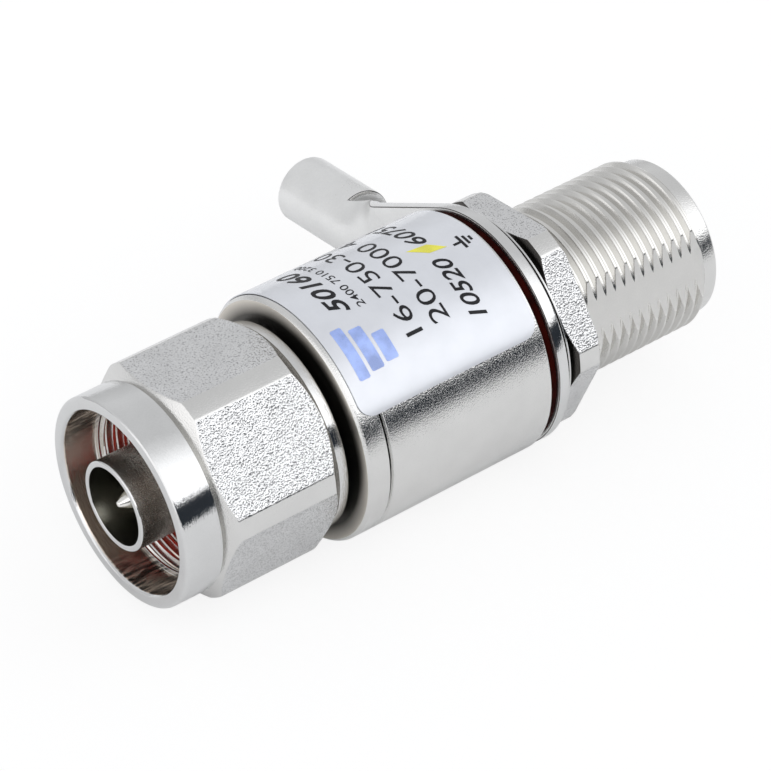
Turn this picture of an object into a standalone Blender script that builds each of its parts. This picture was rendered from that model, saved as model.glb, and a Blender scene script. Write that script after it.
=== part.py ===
"""Coaxial lightning arrestor: an N plug, a body with a gas tube, and an N bulkhead jack with its earth lug.

The connector's axis is X. The plug looks along -X and the jack along +X, and x = 0 is the body's shoulder,
which a panel would seat on. The lug leaves sideways, near +Y. An empty on the axis carries every piece, and
it is placed last, so that the lowest point is at z = 0 and the box is centred on the origin.
"""

import math

import bmesh
import bpy
from mathutils import Matrix, Vector

MM = 0.001

# Clearances
FIT = 0.05 * MM  # between pieces that are pressed or screwed together
RUN = 0.15 * MM  # between pieces that turn on each other
WELD = 0.001 * MM

# Facets round a full circle
WIDE_SIDES = 36
NARROW_SIDES = 24

# Thread shared by the jack, the panel nut and the coupling nut
THREAD_RADIUS = 15.875 / 2 * MM
THREAD_DEPTH = 0.57 * MM
THREAD_PITCH = 25.4 / 24 * MM
THREAD_RELIEF_LENGTH = 1.1 * MM

# 50 ohm line
LINE_RADIUS = 3.5 * MM
CONDUCTOR_RADIUS = 1.52 * MM
CONDUCTOR_WAIST = 1.25 * MM
SCREW_STUB_RADIUS = 0.7 * MM
SCREW_STUB_LENGTH = 2.6 * MM
EDGE = 0.2 * MM  # broken edge on turned pieces

# Body
BODY_RADIUS = 11.1 * MM
BODY_LENGTH = 17.05 * MM
SEAM_EDGE = 0.16 * MM
SPIGOT_RADIUS = 8.0 * MM
SPIGOT_CLEARANCE = 0.4 * MM  # from the spigot's end to the gas tube's cap

# Jack
JACK_LENGTH = 21.75 * MM
LEAD_IN_LENGTH = 1.5 * MM
LEAD_IN_RADIUS = 7.3 * MM
FLAT_TO_AXIS = 7.27 * MM
FLAT_ANGLE = math.radians(163.4)
JACK_BORE_RADIUS = 4.075 * MM
JACK_MOUTH_DEPTH = 9.0 * MM
JACK_MOUTH_FLARE = 0.3 * MM
JACK_BUSH_LENGTH = 3.6 * MM
JACK_INSULATOR_LENGTH = 3.2 * MM
SOCKET_SETBACK = 4.8 * MM
SOCKET_BORE_RADIUS = 0.85 * MM
SOCKET_BORE_DEPTH = 5.0 * MM
SOCKET_SLOT_WIDTH = 0.35 * MM
SOCKET_SLOT_LENGTH = 4.0 * MM

# Panel stack on the jack. The insets are measured inwards from the body's own radius
GASKET_THICKNESS = 0.68 * MM
GASKET_INSET = 0.35 * MM
SHEET = 1.13 * MM
LOCK_WASHER_THICKNESS = 0.82 * MM
LOCK_WASHER_INSET = 0.8 * MM
LOCK_WASHER_RIM_SHARE = 0.45
LOCK_WASHER_TEETH = 14
PANEL_NUT_FLATS = 19.05 * MM
PANEL_NUT_FACE_SHARE = 0.985
PANEL_NUT_THICKNESS = 3.0 * MM
PANEL_NUT_FLAT_ARC = math.radians(25)  # half the arc that a flat takes from the turned blank
PANEL_NUT_ROLL = math.radians(143)
PANEL_NUT_BEVEL = 0.25 * MM  # on the face towards the jack, which has no chamfer
NUT_CHAMFER_ANGLE = math.radians(30)
NUT_COUNTERSINK = 0.4 * MM

# Earth lug
LUG_ANGLE = math.radians(-6.6)
LUG_RING_INSET = 0.1 * MM
LUG_TAPER = math.radians(23.3)
LUG_TONGUE_LENGTH = 3.0 * MM
LUG_CRIMP_START = 20.5 * MM
LUG_REACH = 28.8 * MM
LUG_BARREL_RADIUS = 3.15 * MM
LUG_SEAM = 0.2 * MM

# Plug housing
FLANGE_THICKNESS = 2.3 * MM
NECK_RADIUS = 7.2 * MM
NECK_LENGTH = 7.9 * MM
SNAP_RING_SETBACK = 2.9 * MM
SNAP_RING_THICKNESS = 0.8 * MM
SNAP_RING_WIDTH = 1.2 * MM
SNAP_GROOVE_DEPTH = 0.6 * MM
SNAP_RING_GAP = math.radians(15)
SEAL_SECTION = 0.45 * MM
SEAL_SETBACK = 2.6 * MM

# Plug contacts
SLEEVE_RADIUS = 4.03 * MM
SLEEVE_PROUD = 0.6 * MM
SLEEVE_COLLAR_RADIUS = 4.9 * MM
SLEEVE_COLLAR_LENGTH = 3.0 * MM
PIN_SETBACK = 0.45 * MM
PIN_RADIUS = 0.82 * MM
PIN_NOSE_RADIUS = 0.25 * MM
PIN_NOSE_LENGTH = 1.1 * MM
PIN_TIP_LENGTH = 5.4 * MM
PLUG_INSULATOR_RADIUS = 4.4 * MM
PLUG_INSULATOR_LENGTH = 3.8 * MM
PLUG_GASKET_THICKNESS = 1.3 * MM

# Coupling nut
COUPLING_LENGTH = 16.3 * MM
COUPLING_GAP = 0.85 * MM
COUPLING_FLATS = 19.05 * MM
COUPLING_FLAT_ARC = math.radians(24.9)
COUPLING_ROLL = math.radians(141)
COLLAR_INSET = 0.1 * MM
COLLAR_LENGTH = 3.55 * MM
COLLAR_GROOVE_WIDTH = 0.2 * MM
COLLAR_GROOVE_DEPTH = 0.45 * MM
REAR_RIM_LENGTH = 1.0 * MM
REAR_CHAMFER_ANGLE = math.radians(45)
MOUTH_RADIUS = 8.15 * MM
MOUTH_DEPTH = 3.25 * MM
COUPLING_THREAD_LENGTH = 5.4 * MM

# Gas tube in its radial bore
TUBE_SETBACK_SHARE = 0.44  # of the body's length, measured from its shoulder
TUBE_RADIUS = 2.75 * MM
TUBE_WALL = 0.7 * MM
TUBE_SHARE = 0.5575  # of the height between its seat and the top of the cap
ELECTRODE_THICKNESS = 0.6 * MM
SPARK_GAP = 0.8 * MM
TUBE_SEAT_RADIUS = 2.4 * MM
TUBE_SEAT_HEIGHT = 2.1 * MM
SPRING_WIRE = 0.45 * MM
SPRING_HEIGHT = 1.0 * MM
SPRING_TURNS = 2
TUBE_CAP_RADIUS = 3.9 * MM
TUBE_CAP_COVER = 0.35 * MM  # how far the cap's rim lies under the label
CAP_SOCKET_RADIUS = 1.5 * MM
CAP_SOCKET_DEPTH = 1.2 * MM

# Label
LABEL_THICKNESS = 0.09 * MM
LABEL_LOW_EDGE = math.radians(148.5)
LABEL_ARC = math.radians(178.5)
LABEL_CORNER = 1.4 * MM
LABEL_FRONT_MARGIN = 0.55 * MM
LABEL_REAR_MARGIN = 0.4 * MM

# Radii worked out from the sizes above
THREAD_RELIEF_RADIUS = THREAD_RADIUS - THREAD_DEPTH - EDGE / 2
GASKET_RADIUS = BODY_RADIUS - GASKET_INSET
LUG_RING_RADIUS = BODY_RADIUS - LUG_RING_INSET
LUG_FLAT_REACH = LUG_RING_RADIUS + LUG_TONGUE_LENGTH
LOCK_WASHER_RADIUS = BODY_RADIUS - LOCK_WASHER_INSET
LOCK_WASHER_RIM = LOCK_WASHER_RIM_SHARE * (LOCK_WASHER_RADIUS - THREAD_RADIUS - RUN)
PANEL_NUT_TURNED_RADIUS = PANEL_NUT_FLATS / 2 / math.cos(PANEL_NUT_FLAT_ARC)
PANEL_NUT_FACE_RADIUS = PANEL_NUT_FACE_SHARE * PANEL_NUT_FLATS / 2
COUPLING_TURNED_RADIUS = COUPLING_FLATS / 2 / math.cos(COUPLING_FLAT_ARC)
COLLAR_RADIUS = COUPLING_FLATS / 2 - COLLAR_INSET
COLLAR_GROOVE_RADIUS = COLLAR_RADIUS - COLLAR_GROOVE_DEPTH

# Stations along the axis, worked out from the lengths above
LUG_FRONT = GASKET_THICKNESS + 2 * FIT
LUG_REAR = LUG_FRONT + SHEET
WASHER_FRONT = LUG_REAR + FIT
PANEL_NUT_FRONT = WASHER_FRONT + LOCK_WASHER_THICKNESS + FIT
PANEL_NUT_REAR = PANEL_NUT_FRONT + PANEL_NUT_THICKNESS
BUSH_REAR = JACK_LENGTH - JACK_MOUTH_DEPTH
BUSH_FRONT = BUSH_REAR - JACK_BUSH_LENGTH
JACK_INSULATOR_REAR = BUSH_FRONT - FIT
JACK_INSULATOR_FRONT = JACK_INSULATOR_REAR - JACK_INSULATOR_LENGTH
CONDUCTOR_REAR = JACK_INSULATOR_FRONT - FIT
FLANGE_REAR = -BODY_LENGTH - FIT
FLANGE_FRONT = FLANGE_REAR - FLANGE_THICKNESS
NECK_FRONT = FLANGE_FRONT - NECK_LENGTH
TUBE_X = -TUBE_SETBACK_SHARE * BODY_LENGTH
SPIGOT_REAR = TUBE_X - TUBE_CAP_RADIUS - SPIGOT_CLEARANCE
COUPLING_REAR = FLANGE_FRONT - COUPLING_GAP
COUPLING_FRONT = COUPLING_REAR - COUPLING_LENGTH
SLEEVE_FRONT = COUPLING_FRONT - SLEEVE_PROUD
SLEEVE_REAR = NECK_FRONT + SLEEVE_COLLAR_LENGTH
PIN_FRONT = SLEEVE_FRONT + PIN_SETBACK
PLUG_INSULATOR_FRONT = SLEEVE_REAR + FIT
PLUG_INSULATOR_REAR = PLUG_INSULATOR_FRONT + PLUG_INSULATOR_LENGTH
CONDUCTOR_FRONT = PLUG_INSULATOR_REAR + FIT
SNAP_RING_REAR = FLANGE_FRONT - SNAP_RING_SETBACK
SNAP_RING_FRONT = SNAP_RING_REAR - SNAP_RING_THICKNESS
NECK_GROOVE_RADIUS = NECK_RADIUS - SNAP_GROOVE_DEPTH
SNAP_RING_BORE = NECK_GROOVE_RADIUS + FIT
SNAP_RING_RADIUS = SNAP_RING_BORE + SNAP_RING_WIDTH
SEAL_X = SPIGOT_REAR - SEAL_SETBACK
CAP_TOP = math.sqrt(BODY_RADIUS**2 - TUBE_CAP_RADIUS**2) - TUBE_CAP_COVER
TUBE_FOOT = TUBE_SEAT_HEIGHT + FIT
TUBE_TOP = TUBE_FOOT + TUBE_SHARE * (CAP_TOP - TUBE_FOOT)
SPRING_FOOT = TUBE_TOP + FIT
CAP_FOOT = SPRING_FOOT + SPRING_HEIGHT + FIT


def clear_scene():
    for item in list(bpy.data.objects):
        bpy.data.objects.remove(item, do_unlink=True)


def finish(name, colour, roughness, metallic):
    """A plain Principled material."""
    material = bpy.data.materials.new(name)
    material.use_nodes = True
    shader = material.node_tree.nodes["Principled BSDF"]
    shader.inputs["Base Color"].default_value = (*colour, 1.0)
    shader.inputs["Roughness"].default_value = roughness
    shader.inputs["Metallic"].default_value = metallic
    return material


def piece(name, shape, material):
    """A named object on the connector's axis from a bmesh."""
    mesh = bpy.data.meshes.new(name)
    shape.to_mesh(mesh)
    shape.free()
    mesh.shade_smooth()
    mesh.set_sharp_from_angle(angle=math.radians(35))
    item = bpy.data.objects.new(name, mesh)
    bpy.context.collection.objects.link(item)
    item.parent = AXIS
    if material:
        mesh.materials.append(material)
    return item


def cutter(name, shape):
    item = piece(name, shape, None)
    item.hide_render = True
    item.display_type = "WIRE"
    return item


def boolean(item, tool, operation):
    modifier = item.modifiers.new(tool.name, "BOOLEAN")
    modifier.operation = operation
    modifier.solver = "EXACT"
    modifier.object = tool


def spun(outline, sides, angle=math.tau):
    """Spins (x, radius) points about X. An outline that starts and ends on the axis is left open there."""
    shape = bmesh.new()
    points = [shape.verts.new((x, 0.0, radius)) for x, radius in outline]
    on_axis = outline[0][1] == 0 and outline[-1][1] == 0
    pairs = list(zip(points, points[1:])) + ([] if on_axis else [(points[-1], points[0])])
    edges = [shape.edges.new(pair) for pair in pairs]
    whole = angle == math.tau
    if not whole:
        shape.faces.new(points)
    bmesh.ops.spin(
        shape,
        geom=shape.faces[:] if not whole else points + edges,
        cent=(0, 0, 0),
        axis=(1, 0, 0),
        angle=angle,
        steps=sides,
        use_merge=whole,
    )
    bmesh.ops.remove_doubles(shape, verts=shape.verts, dist=WELD)
    bmesh.ops.recalc_face_normals(shape, faces=shape.faces)
    return shape


def upright(shape, x):
    """Turns a shape made along X so that it stands along +Z at station x."""
    stand = Matrix.Translation((x, 0, 0)) @ Matrix.Rotation(math.radians(-90), 4, "Y")
    bmesh.ops.transform(shape, matrix=stand, verts=shape.verts)
    return shape


def box(low, high):
    shape = bmesh.new()
    bmesh.ops.create_cube(shape, size=1.0)
    size = Vector(high) - Vector(low)
    place = Matrix.Translation((Vector(high) + Vector(low)) / 2) @ Matrix.Diagonal((*size, 1.0))
    bmesh.ops.transform(shape, matrix=place, verts=shape.verts)
    return shape


def hexagon(across_flats, front, rear):
    """A hexagonal prism along X, with the middle of one flat towards +Y."""
    shape = bmesh.new()
    corner = across_flats / 2 / math.cos(math.radians(30))
    bmesh.ops.create_cone(
        shape, cap_ends=True, segments=6, radius1=corner, radius2=corner, depth=rear - front
    )
    lay = Matrix.Translation(((front + rear) / 2, 0, 0)) @ Matrix.Rotation(math.radians(90), 4, "Y")
    bmesh.ops.transform(shape, matrix=lay, verts=shape.verts)
    flat = max((face.normal.copy() for face in shape.faces), key=lambda n: n.y)
    turn = Matrix.Rotation(-math.atan2(flat.z, flat.y), 4, "X")
    bmesh.ops.transform(shape, matrix=turn, verts=shape.verts)
    return shape


def rolled(item, angle, *tools):
    """Turns a piece and its tools about the connector's axis."""
    for thing in (item, *tools):
        thing.rotation_euler.x = angle


def thread_gauge():
    """A solid that holds the body, with the thread's right-hand helix as its surface round the jack."""
    wide = 2 * BODY_RADIUS
    section = ((0, THREAD_RADIUS), (0.5, THREAD_RADIUS - THREAD_DEPTH))
    turns = math.ceil(JACK_LENGTH / THREAD_PITCH) + 1
    shape = bmesh.new()
    directions = []
    columns = []
    for k in range(WIDE_SIDES):
        angle = math.tau * (k + 0.5) / WIDE_SIDES
        directions.append(Vector((0, math.cos(angle), math.sin(angle))))
        column = []
        for row in range(turns * len(section)):
            share, radius = section[row % len(section)]
            pitches = row // len(section) + share + k / WIDE_SIDES
            x = EDGE / 4 + pitches * THREAD_PITCH
            column.append(shape.verts.new(Vector((x, 0, 0)) + directions[k] * radius))
        columns.append(column)
    collar = [shape.verts.new(Vector((EDGE, 0, 0)) + way * wide) for way in directions]
    back = [shape.verts.new(Vector((-2 * BODY_LENGTH, 0, 0)) + way * wide) for way in directions]
    tip = shape.verts.new(((turns + 1) * THREAD_PITCH, 0, 0))
    for k in range(WIDE_SIDES):
        near = columns[k]
        following = (k + 1) % WIDE_SIDES
        far = columns[following] if following else columns[0][len(section) :]
        for row in range(len(far) - 1):
            shape.faces.new((near[row], near[row + 1], far[row + 1], far[row]))
        shape.faces.new((near[0], far[0], collar[following], collar[k]))
        shape.faces.new((collar[k], collar[following], back[following], back[k]))
        shape.faces.new((near[len(far) - 1], far[-1], tip))
    for row in range(len(section)):
        shape.faces.new((columns[0][row], columns[0][row + 1], collar[0]))
        shape.faces.new((columns[-1][-row - 1], columns[-1][-row - 2], tip))
    shape.faces.new(back)
    bmesh.ops.triangulate(shape, faces=shape.faces[:])
    bmesh.ops.recalc_face_normals(shape, faces=shape.faces)
    return shape


def make_main_body():
    edge = SEAM_EDGE
    counterbore = SPIGOT_RADIUS + FIT
    blank = THREAD_RADIUS + EDGE
    outline = [
        (-BODY_LENGTH, counterbore),
        (-BODY_LENGTH, BODY_RADIUS - edge),
        (-BODY_LENGTH + edge, BODY_RADIUS),
        (-EDGE, BODY_RADIUS),
        (0, BODY_RADIUS - EDGE),
        (0, THREAD_RELIEF_RADIUS),
        (THREAD_RELIEF_LENGTH, THREAD_RELIEF_RADIUS),
        (THREAD_RELIEF_LENGTH, blank),
        (JACK_LENGTH - LEAD_IN_LENGTH - THREAD_DEPTH - EDGE, blank),
        (JACK_LENGTH - LEAD_IN_LENGTH, LEAD_IN_RADIUS),
        (JACK_LENGTH - EDGE, LEAD_IN_RADIUS),
        (JACK_LENGTH, LEAD_IN_RADIUS - EDGE),
        (JACK_LENGTH, JACK_BORE_RADIUS + JACK_MOUTH_FLARE),
        (JACK_LENGTH - JACK_MOUTH_FLARE, JACK_BORE_RADIUS),
        (JACK_INSULATOR_FRONT - FIT, JACK_BORE_RADIUS),
        (JACK_INSULATOR_FRONT - FIT, LINE_RADIUS),
        (SPIGOT_REAR + FIT, LINE_RADIUS),
        (SPIGOT_REAR + FIT, counterbore),
    ]
    body = piece("main_body", spun(outline, WIDE_SIDES), PLATED)
    boolean(body, cutter("thread_gauge", thread_gauge()), "INTERSECT")
    flats = box(
        (PANEL_NUT_FRONT / 4, FLAT_TO_AXIS, -BODY_RADIUS),
        (JACK_LENGTH - LEAD_IN_LENGTH, 2 * FLAT_TO_AXIS, BODY_RADIUS),
    )
    other = bmesh.ops.duplicate(flats, geom=flats.verts[:] + flats.edges[:] + flats.faces[:])["geom"]
    half_turn = Matrix.Rotation(math.pi, 4, "X")
    moved = [v for v in other if isinstance(v, bmesh.types.BMVert)]
    bmesh.ops.transform(flats, matrix=half_turn, verts=moved)
    flat_tool = cutter("flat_cutter", flats)
    flat_tool.rotation_euler.x = FLAT_ANGLE
    boolean(body, flat_tool, "DIFFERENCE")
    bore = [
        (0, 0),
        (0, TUBE_RADIUS + FIT),
        (CAP_FOOT - FIT, TUBE_RADIUS + FIT),
        (CAP_FOOT - FIT, TUBE_CAP_RADIUS + FIT),
        (BODY_RADIUS + FIT, TUBE_CAP_RADIUS + FIT),
        (BODY_RADIUS + FIT, 0),
    ]
    bore_tool = cutter("tube_bore_cutter", upright(spun(bore, NARROW_SIDES), TUBE_X))
    boolean(body, bore_tool, "DIFFERENCE")


def make_plug_housing():
    groove_front = SNAP_RING_FRONT - FIT
    groove_rear = SNAP_RING_REAR + FIT
    seal_floor = SPIGOT_RADIUS - 2 * SEAL_SECTION - FIT
    outline = [
        (NECK_FRONT, SLEEVE_COLLAR_RADIUS + FIT),
        (NECK_FRONT, NECK_RADIUS - EDGE),
        (NECK_FRONT + EDGE, NECK_RADIUS),
        (groove_front, NECK_RADIUS),
        (groove_front, NECK_GROOVE_RADIUS),
        (groove_rear, NECK_GROOVE_RADIUS),
        (groove_rear, NECK_RADIUS),
        (FLANGE_FRONT, NECK_RADIUS),
        (FLANGE_FRONT, BODY_RADIUS - EDGE),
        (FLANGE_FRONT + EDGE, BODY_RADIUS),
        (FLANGE_REAR - SEAM_EDGE, BODY_RADIUS),
        (FLANGE_REAR, BODY_RADIUS - SEAM_EDGE),
        (FLANGE_REAR, SPIGOT_RADIUS),
        (SEAL_X - SEAL_SECTION - FIT, SPIGOT_RADIUS),
        (SEAL_X - SEAL_SECTION - FIT, seal_floor),
        (SEAL_X + SEAL_SECTION + FIT, seal_floor),
        (SEAL_X + SEAL_SECTION + FIT, SPIGOT_RADIUS),
        (SPIGOT_REAR, SPIGOT_RADIUS),
        (SPIGOT_REAR, LINE_RADIUS),
        (PLUG_INSULATOR_REAR + FIT, LINE_RADIUS),
        (PLUG_INSULATOR_REAR + FIT, PLUG_INSULATOR_RADIUS + FIT),
        (SLEEVE_REAR + FIT / 2, PLUG_INSULATOR_RADIUS + FIT),
        (SLEEVE_REAR + FIT / 2, SLEEVE_COLLAR_RADIUS + FIT),
    ]
    piece("plug_housing", spun(outline, WIDE_SIDES), PLATED)


def make_housing_seal():
    """The O-ring in the spigot's groove."""
    shape = spun(
        [
            (
                SEAL_X + SEAL_SECTION * math.cos(math.radians(45 * k)),
                SPIGOT_RADIUS - SEAL_SECTION + SEAL_SECTION * math.sin(math.radians(45 * k)),
            )
            for k in range(8)
        ],
        WIDE_SIDES,
    )
    piece("housing_seal", shape, BLACK_RUBBER)


def make_plug_outer_contact():
    outline = [
        (SLEEVE_FRONT, LINE_RADIUS + EDGE / 4),
        (SLEEVE_FRONT, SLEEVE_RADIUS - EDGE / 2),
        (SLEEVE_FRONT + EDGE / 2, SLEEVE_RADIUS),
        (NECK_FRONT, SLEEVE_RADIUS),
        (NECK_FRONT, SLEEVE_COLLAR_RADIUS),
        (SLEEVE_REAR, SLEEVE_COLLAR_RADIUS),
        (SLEEVE_REAR, LINE_RADIUS),
        (SLEEVE_FRONT + EDGE / 4, LINE_RADIUS),
    ]
    piece("plug_outer_contact", spun(outline, WIDE_SIDES), CONTACT_PLATE)


def make_plug_gasket():
    outline = [
        (NECK_FRONT - PLUG_GASKET_THICKNESS - FIT, SLEEVE_RADIUS + FIT),
        (NECK_FRONT - PLUG_GASKET_THICKNESS - FIT, NECK_RADIUS - EDGE),
        (NECK_FRONT - FIT, NECK_RADIUS - EDGE),
        (NECK_FRONT - FIT, SLEEVE_RADIUS + FIT),
    ]
    piece("plug_gasket", spun(outline, WIDE_SIDES), RED_SILICONE)


def make_plug_pin():
    """A tip with a tapered nose, a shoulder before the bead, and a screw stub behind it."""
    shoulder = PIN_FRONT + PIN_TIP_LENGTH
    step = CONDUCTOR_RADIUS - PIN_RADIUS
    outline = [
        (PIN_FRONT, 0),
        (PIN_FRONT, PIN_NOSE_RADIUS),
        (PIN_FRONT + PIN_NOSE_LENGTH, PIN_RADIUS),
        (shoulder - step / 2, PIN_RADIUS),
        (shoulder, CONDUCTOR_RADIUS),
        (PLUG_INSULATOR_FRONT - FIT, CONDUCTOR_RADIUS),
        (PLUG_INSULATOR_FRONT - FIT, CONDUCTOR_WAIST),
        (CONDUCTOR_FRONT - FIT, CONDUCTOR_WAIST),
        (CONDUCTOR_FRONT - FIT, SCREW_STUB_RADIUS),
        (CONDUCTOR_FRONT + SCREW_STUB_LENGTH, SCREW_STUB_RADIUS),
        (CONDUCTOR_FRONT + SCREW_STUB_LENGTH, 0),
    ]
    piece("plug_pin", spun(outline, NARROW_SIDES), SILVER_PLATE)


def bead(name, front, rear, radius):
    outline = [
        (front, CONDUCTOR_WAIST + FIT),
        (front, radius),
        (rear, radius),
        (rear, CONDUCTOR_WAIST + FIT),
    ]
    piece(name, spun(outline, WIDE_SIDES), PTFE)


def make_centre_conductor():
    """A rod with a screw hole in each end and a flat seat for the gas tube."""
    hole = SCREW_STUB_RADIUS + FIT
    depth = SCREW_STUB_LENGTH + FIT
    seat = TUBE_RADIUS + FIT
    outline = [
        (CONDUCTOR_FRONT + depth, 0),
        (CONDUCTOR_FRONT + depth, hole),
        (CONDUCTOR_FRONT, hole),
        (CONDUCTOR_FRONT, CONDUCTOR_RADIUS),
        (TUBE_X - seat, CONDUCTOR_RADIUS),
        (TUBE_X - seat, TUBE_SEAT_RADIUS),
        (TUBE_X + seat, TUBE_SEAT_RADIUS),
        (TUBE_X + seat, CONDUCTOR_RADIUS),
        (CONDUCTOR_REAR, CONDUCTOR_RADIUS),
        (CONDUCTOR_REAR, hole),
        (CONDUCTOR_REAR - depth, hole),
        (CONDUCTOR_REAR - depth, 0),
    ]
    rod = piece("centre_conductor", spun(outline, NARROW_SIDES), SILVER_PLATE)
    above = box(
        (TUBE_X - 2 * seat, -2 * TUBE_SEAT_RADIUS, TUBE_SEAT_HEIGHT),
        (TUBE_X + 2 * seat, 2 * TUBE_SEAT_RADIUS, 2 * TUBE_SEAT_RADIUS),
    )
    boolean(rod, cutter("tube_seat_cutter", above), "DIFFERENCE")


def make_jack_socket():
    """The slotted female contact, with the waist and stub that clamp the bead."""
    mouth = JACK_LENGTH - SOCKET_SETBACK
    outline = [
        (mouth - SOCKET_BORE_DEPTH, 0),
        (mouth - SOCKET_BORE_DEPTH, SOCKET_BORE_RADIUS),
        (mouth - EDGE, SOCKET_BORE_RADIUS),
        (mouth, SOCKET_BORE_RADIUS + EDGE),
        (mouth, CONDUCTOR_RADIUS - EDGE),
        (mouth - EDGE, CONDUCTOR_RADIUS),
        (JACK_INSULATOR_REAR + FIT, CONDUCTOR_RADIUS),
        (JACK_INSULATOR_REAR + FIT, CONDUCTOR_WAIST),
        (CONDUCTOR_REAR + FIT, CONDUCTOR_WAIST),
        (CONDUCTOR_REAR + FIT, SCREW_STUB_RADIUS),
        (CONDUCTOR_REAR - SCREW_STUB_LENGTH, SCREW_STUB_RADIUS),
        (CONDUCTOR_REAR - SCREW_STUB_LENGTH, 0),
    ]
    socket = piece("jack_socket", spun(outline, NARROW_SIDES), SILVER_PLATE)
    half = SOCKET_SLOT_WIDTH / 2
    reach = 2 * CONDUCTOR_RADIUS
    for name, turn in (("slot_cutter_a", 0), ("slot_cutter_b", math.pi / 2)):
        slot = cutter(name, box((mouth - SOCKET_SLOT_LENGTH, -half, -reach), (mouth + reach, half, reach)))
        slot.rotation_euler.x = turn
        boolean(socket, slot, "DIFFERENCE")


def make_jack_bush():
    outer = JACK_BORE_RADIUS - FIT
    outline = [(BUSH_FRONT, LINE_RADIUS), (BUSH_FRONT, outer), (BUSH_REAR, outer), (BUSH_REAR, LINE_RADIUS)]
    piece("jack_bush", spun(outline, WIDE_SIDES), CONTACT_PLATE)


def make_gas_tube():
    """A ceramic ring between two electrodes whose noses leave the spark gap."""
    wall_foot = TUBE_FOOT + ELECTRODE_THICKNESS + FIT
    wall_top = TUBE_TOP - ELECTRODE_THICKNESS - FIT
    middle = (TUBE_FOOT + TUBE_TOP) / 2
    bore = TUBE_RADIUS - TUBE_WALL
    nose = bore / 2
    ring = [(wall_foot, bore), (wall_foot, TUBE_RADIUS), (wall_top, TUBE_RADIUS), (wall_top, bore)]
    piece("gas_tube_ceramic", upright(spun(ring, NARROW_SIDES), TUBE_X), CERAMIC)
    for name, foot, lip, tip in (
        ("gas_tube_inner_electrode", TUBE_FOOT, TUBE_FOOT + ELECTRODE_THICKNESS, middle - SPARK_GAP / 2),
        ("gas_tube_outer_electrode", TUBE_TOP, TUBE_TOP - ELECTRODE_THICKNESS, middle + SPARK_GAP / 2),
    ):
        outline = [(foot, 0), (foot, TUBE_RADIUS), (lip, TUBE_RADIUS), (lip, nose), (tip, nose), (tip, 0)]
        piece(name, upright(spun(outline, NARROW_SIDES), TUBE_X), CONTACT_PLATE)


def make_gas_tube_spring():
    """The coil that keeps the tube on its seat, with closed ends that narrow towards the cap."""
    radius = TUBE_RADIUS - SPRING_WIRE
    rise = SPRING_HEIGHT - SPRING_WIRE
    per_turn = 16
    steps = SPRING_TURNS * per_turn
    curve = bpy.data.curves.new("gas_tube_spring", "CURVE")
    curve.dimensions = "3D"
    curve.bevel_depth = SPRING_WIRE / 2
    curve.bevel_resolution = 1
    curve.use_fill_caps = True
    spline = curve.splines.new("POLY")
    spline.points.add(steps)
    for k, point in enumerate(spline.points):
        share = k / steps
        turn = math.tau * k / per_turn
        coil = radius - share * SPRING_WIRE * SPRING_TURNS
        height = SPRING_FOOT + SPRING_WIRE / 2 + rise * share
        point.co = (TUBE_X + coil * math.cos(turn), coil * math.sin(turn), height, 1.0)
    curve.materials.append(SPRING_WIRE_FINISH)
    spring = bpy.data.objects.new("gas_tube_spring", curve)
    bpy.context.collection.objects.link(spring)
    spring.parent = AXIS


def make_gas_tube_cap():
    """The screw plug over the tube, with a hexagon socket."""
    outline = [
        (CAP_FOOT, 0),
        (CAP_FOOT, TUBE_CAP_RADIUS - EDGE),
        (CAP_FOOT + EDGE, TUBE_CAP_RADIUS),
        (CAP_TOP - EDGE, TUBE_CAP_RADIUS),
        (CAP_TOP, TUBE_CAP_RADIUS - EDGE),
        (CAP_TOP, 0),
    ]
    cap = piece("gas_tube_cap", upright(spun(outline, NARROW_SIDES), TUBE_X), PLATED)
    key = upright(
        hexagon(2 * CAP_SOCKET_RADIUS, CAP_TOP - CAP_SOCKET_DEPTH, CAP_TOP + CAP_SOCKET_DEPTH), TUBE_X
    )
    boolean(cap, cutter("cap_socket_cutter", key), "DIFFERENCE")


def make_snap_ring():
    """A split ring that holds the coupling nut on the neck."""
    outline = [
        (SNAP_RING_FRONT, SNAP_RING_BORE),
        (SNAP_RING_FRONT, SNAP_RING_RADIUS),
        (SNAP_RING_REAR, SNAP_RING_RADIUS),
        (SNAP_RING_REAR, SNAP_RING_BORE),
    ]
    piece("coupling_snap_ring", spun(outline, WIDE_SIDES, math.tau - SNAP_RING_GAP), SPRING_WIRE_FINISH)


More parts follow.
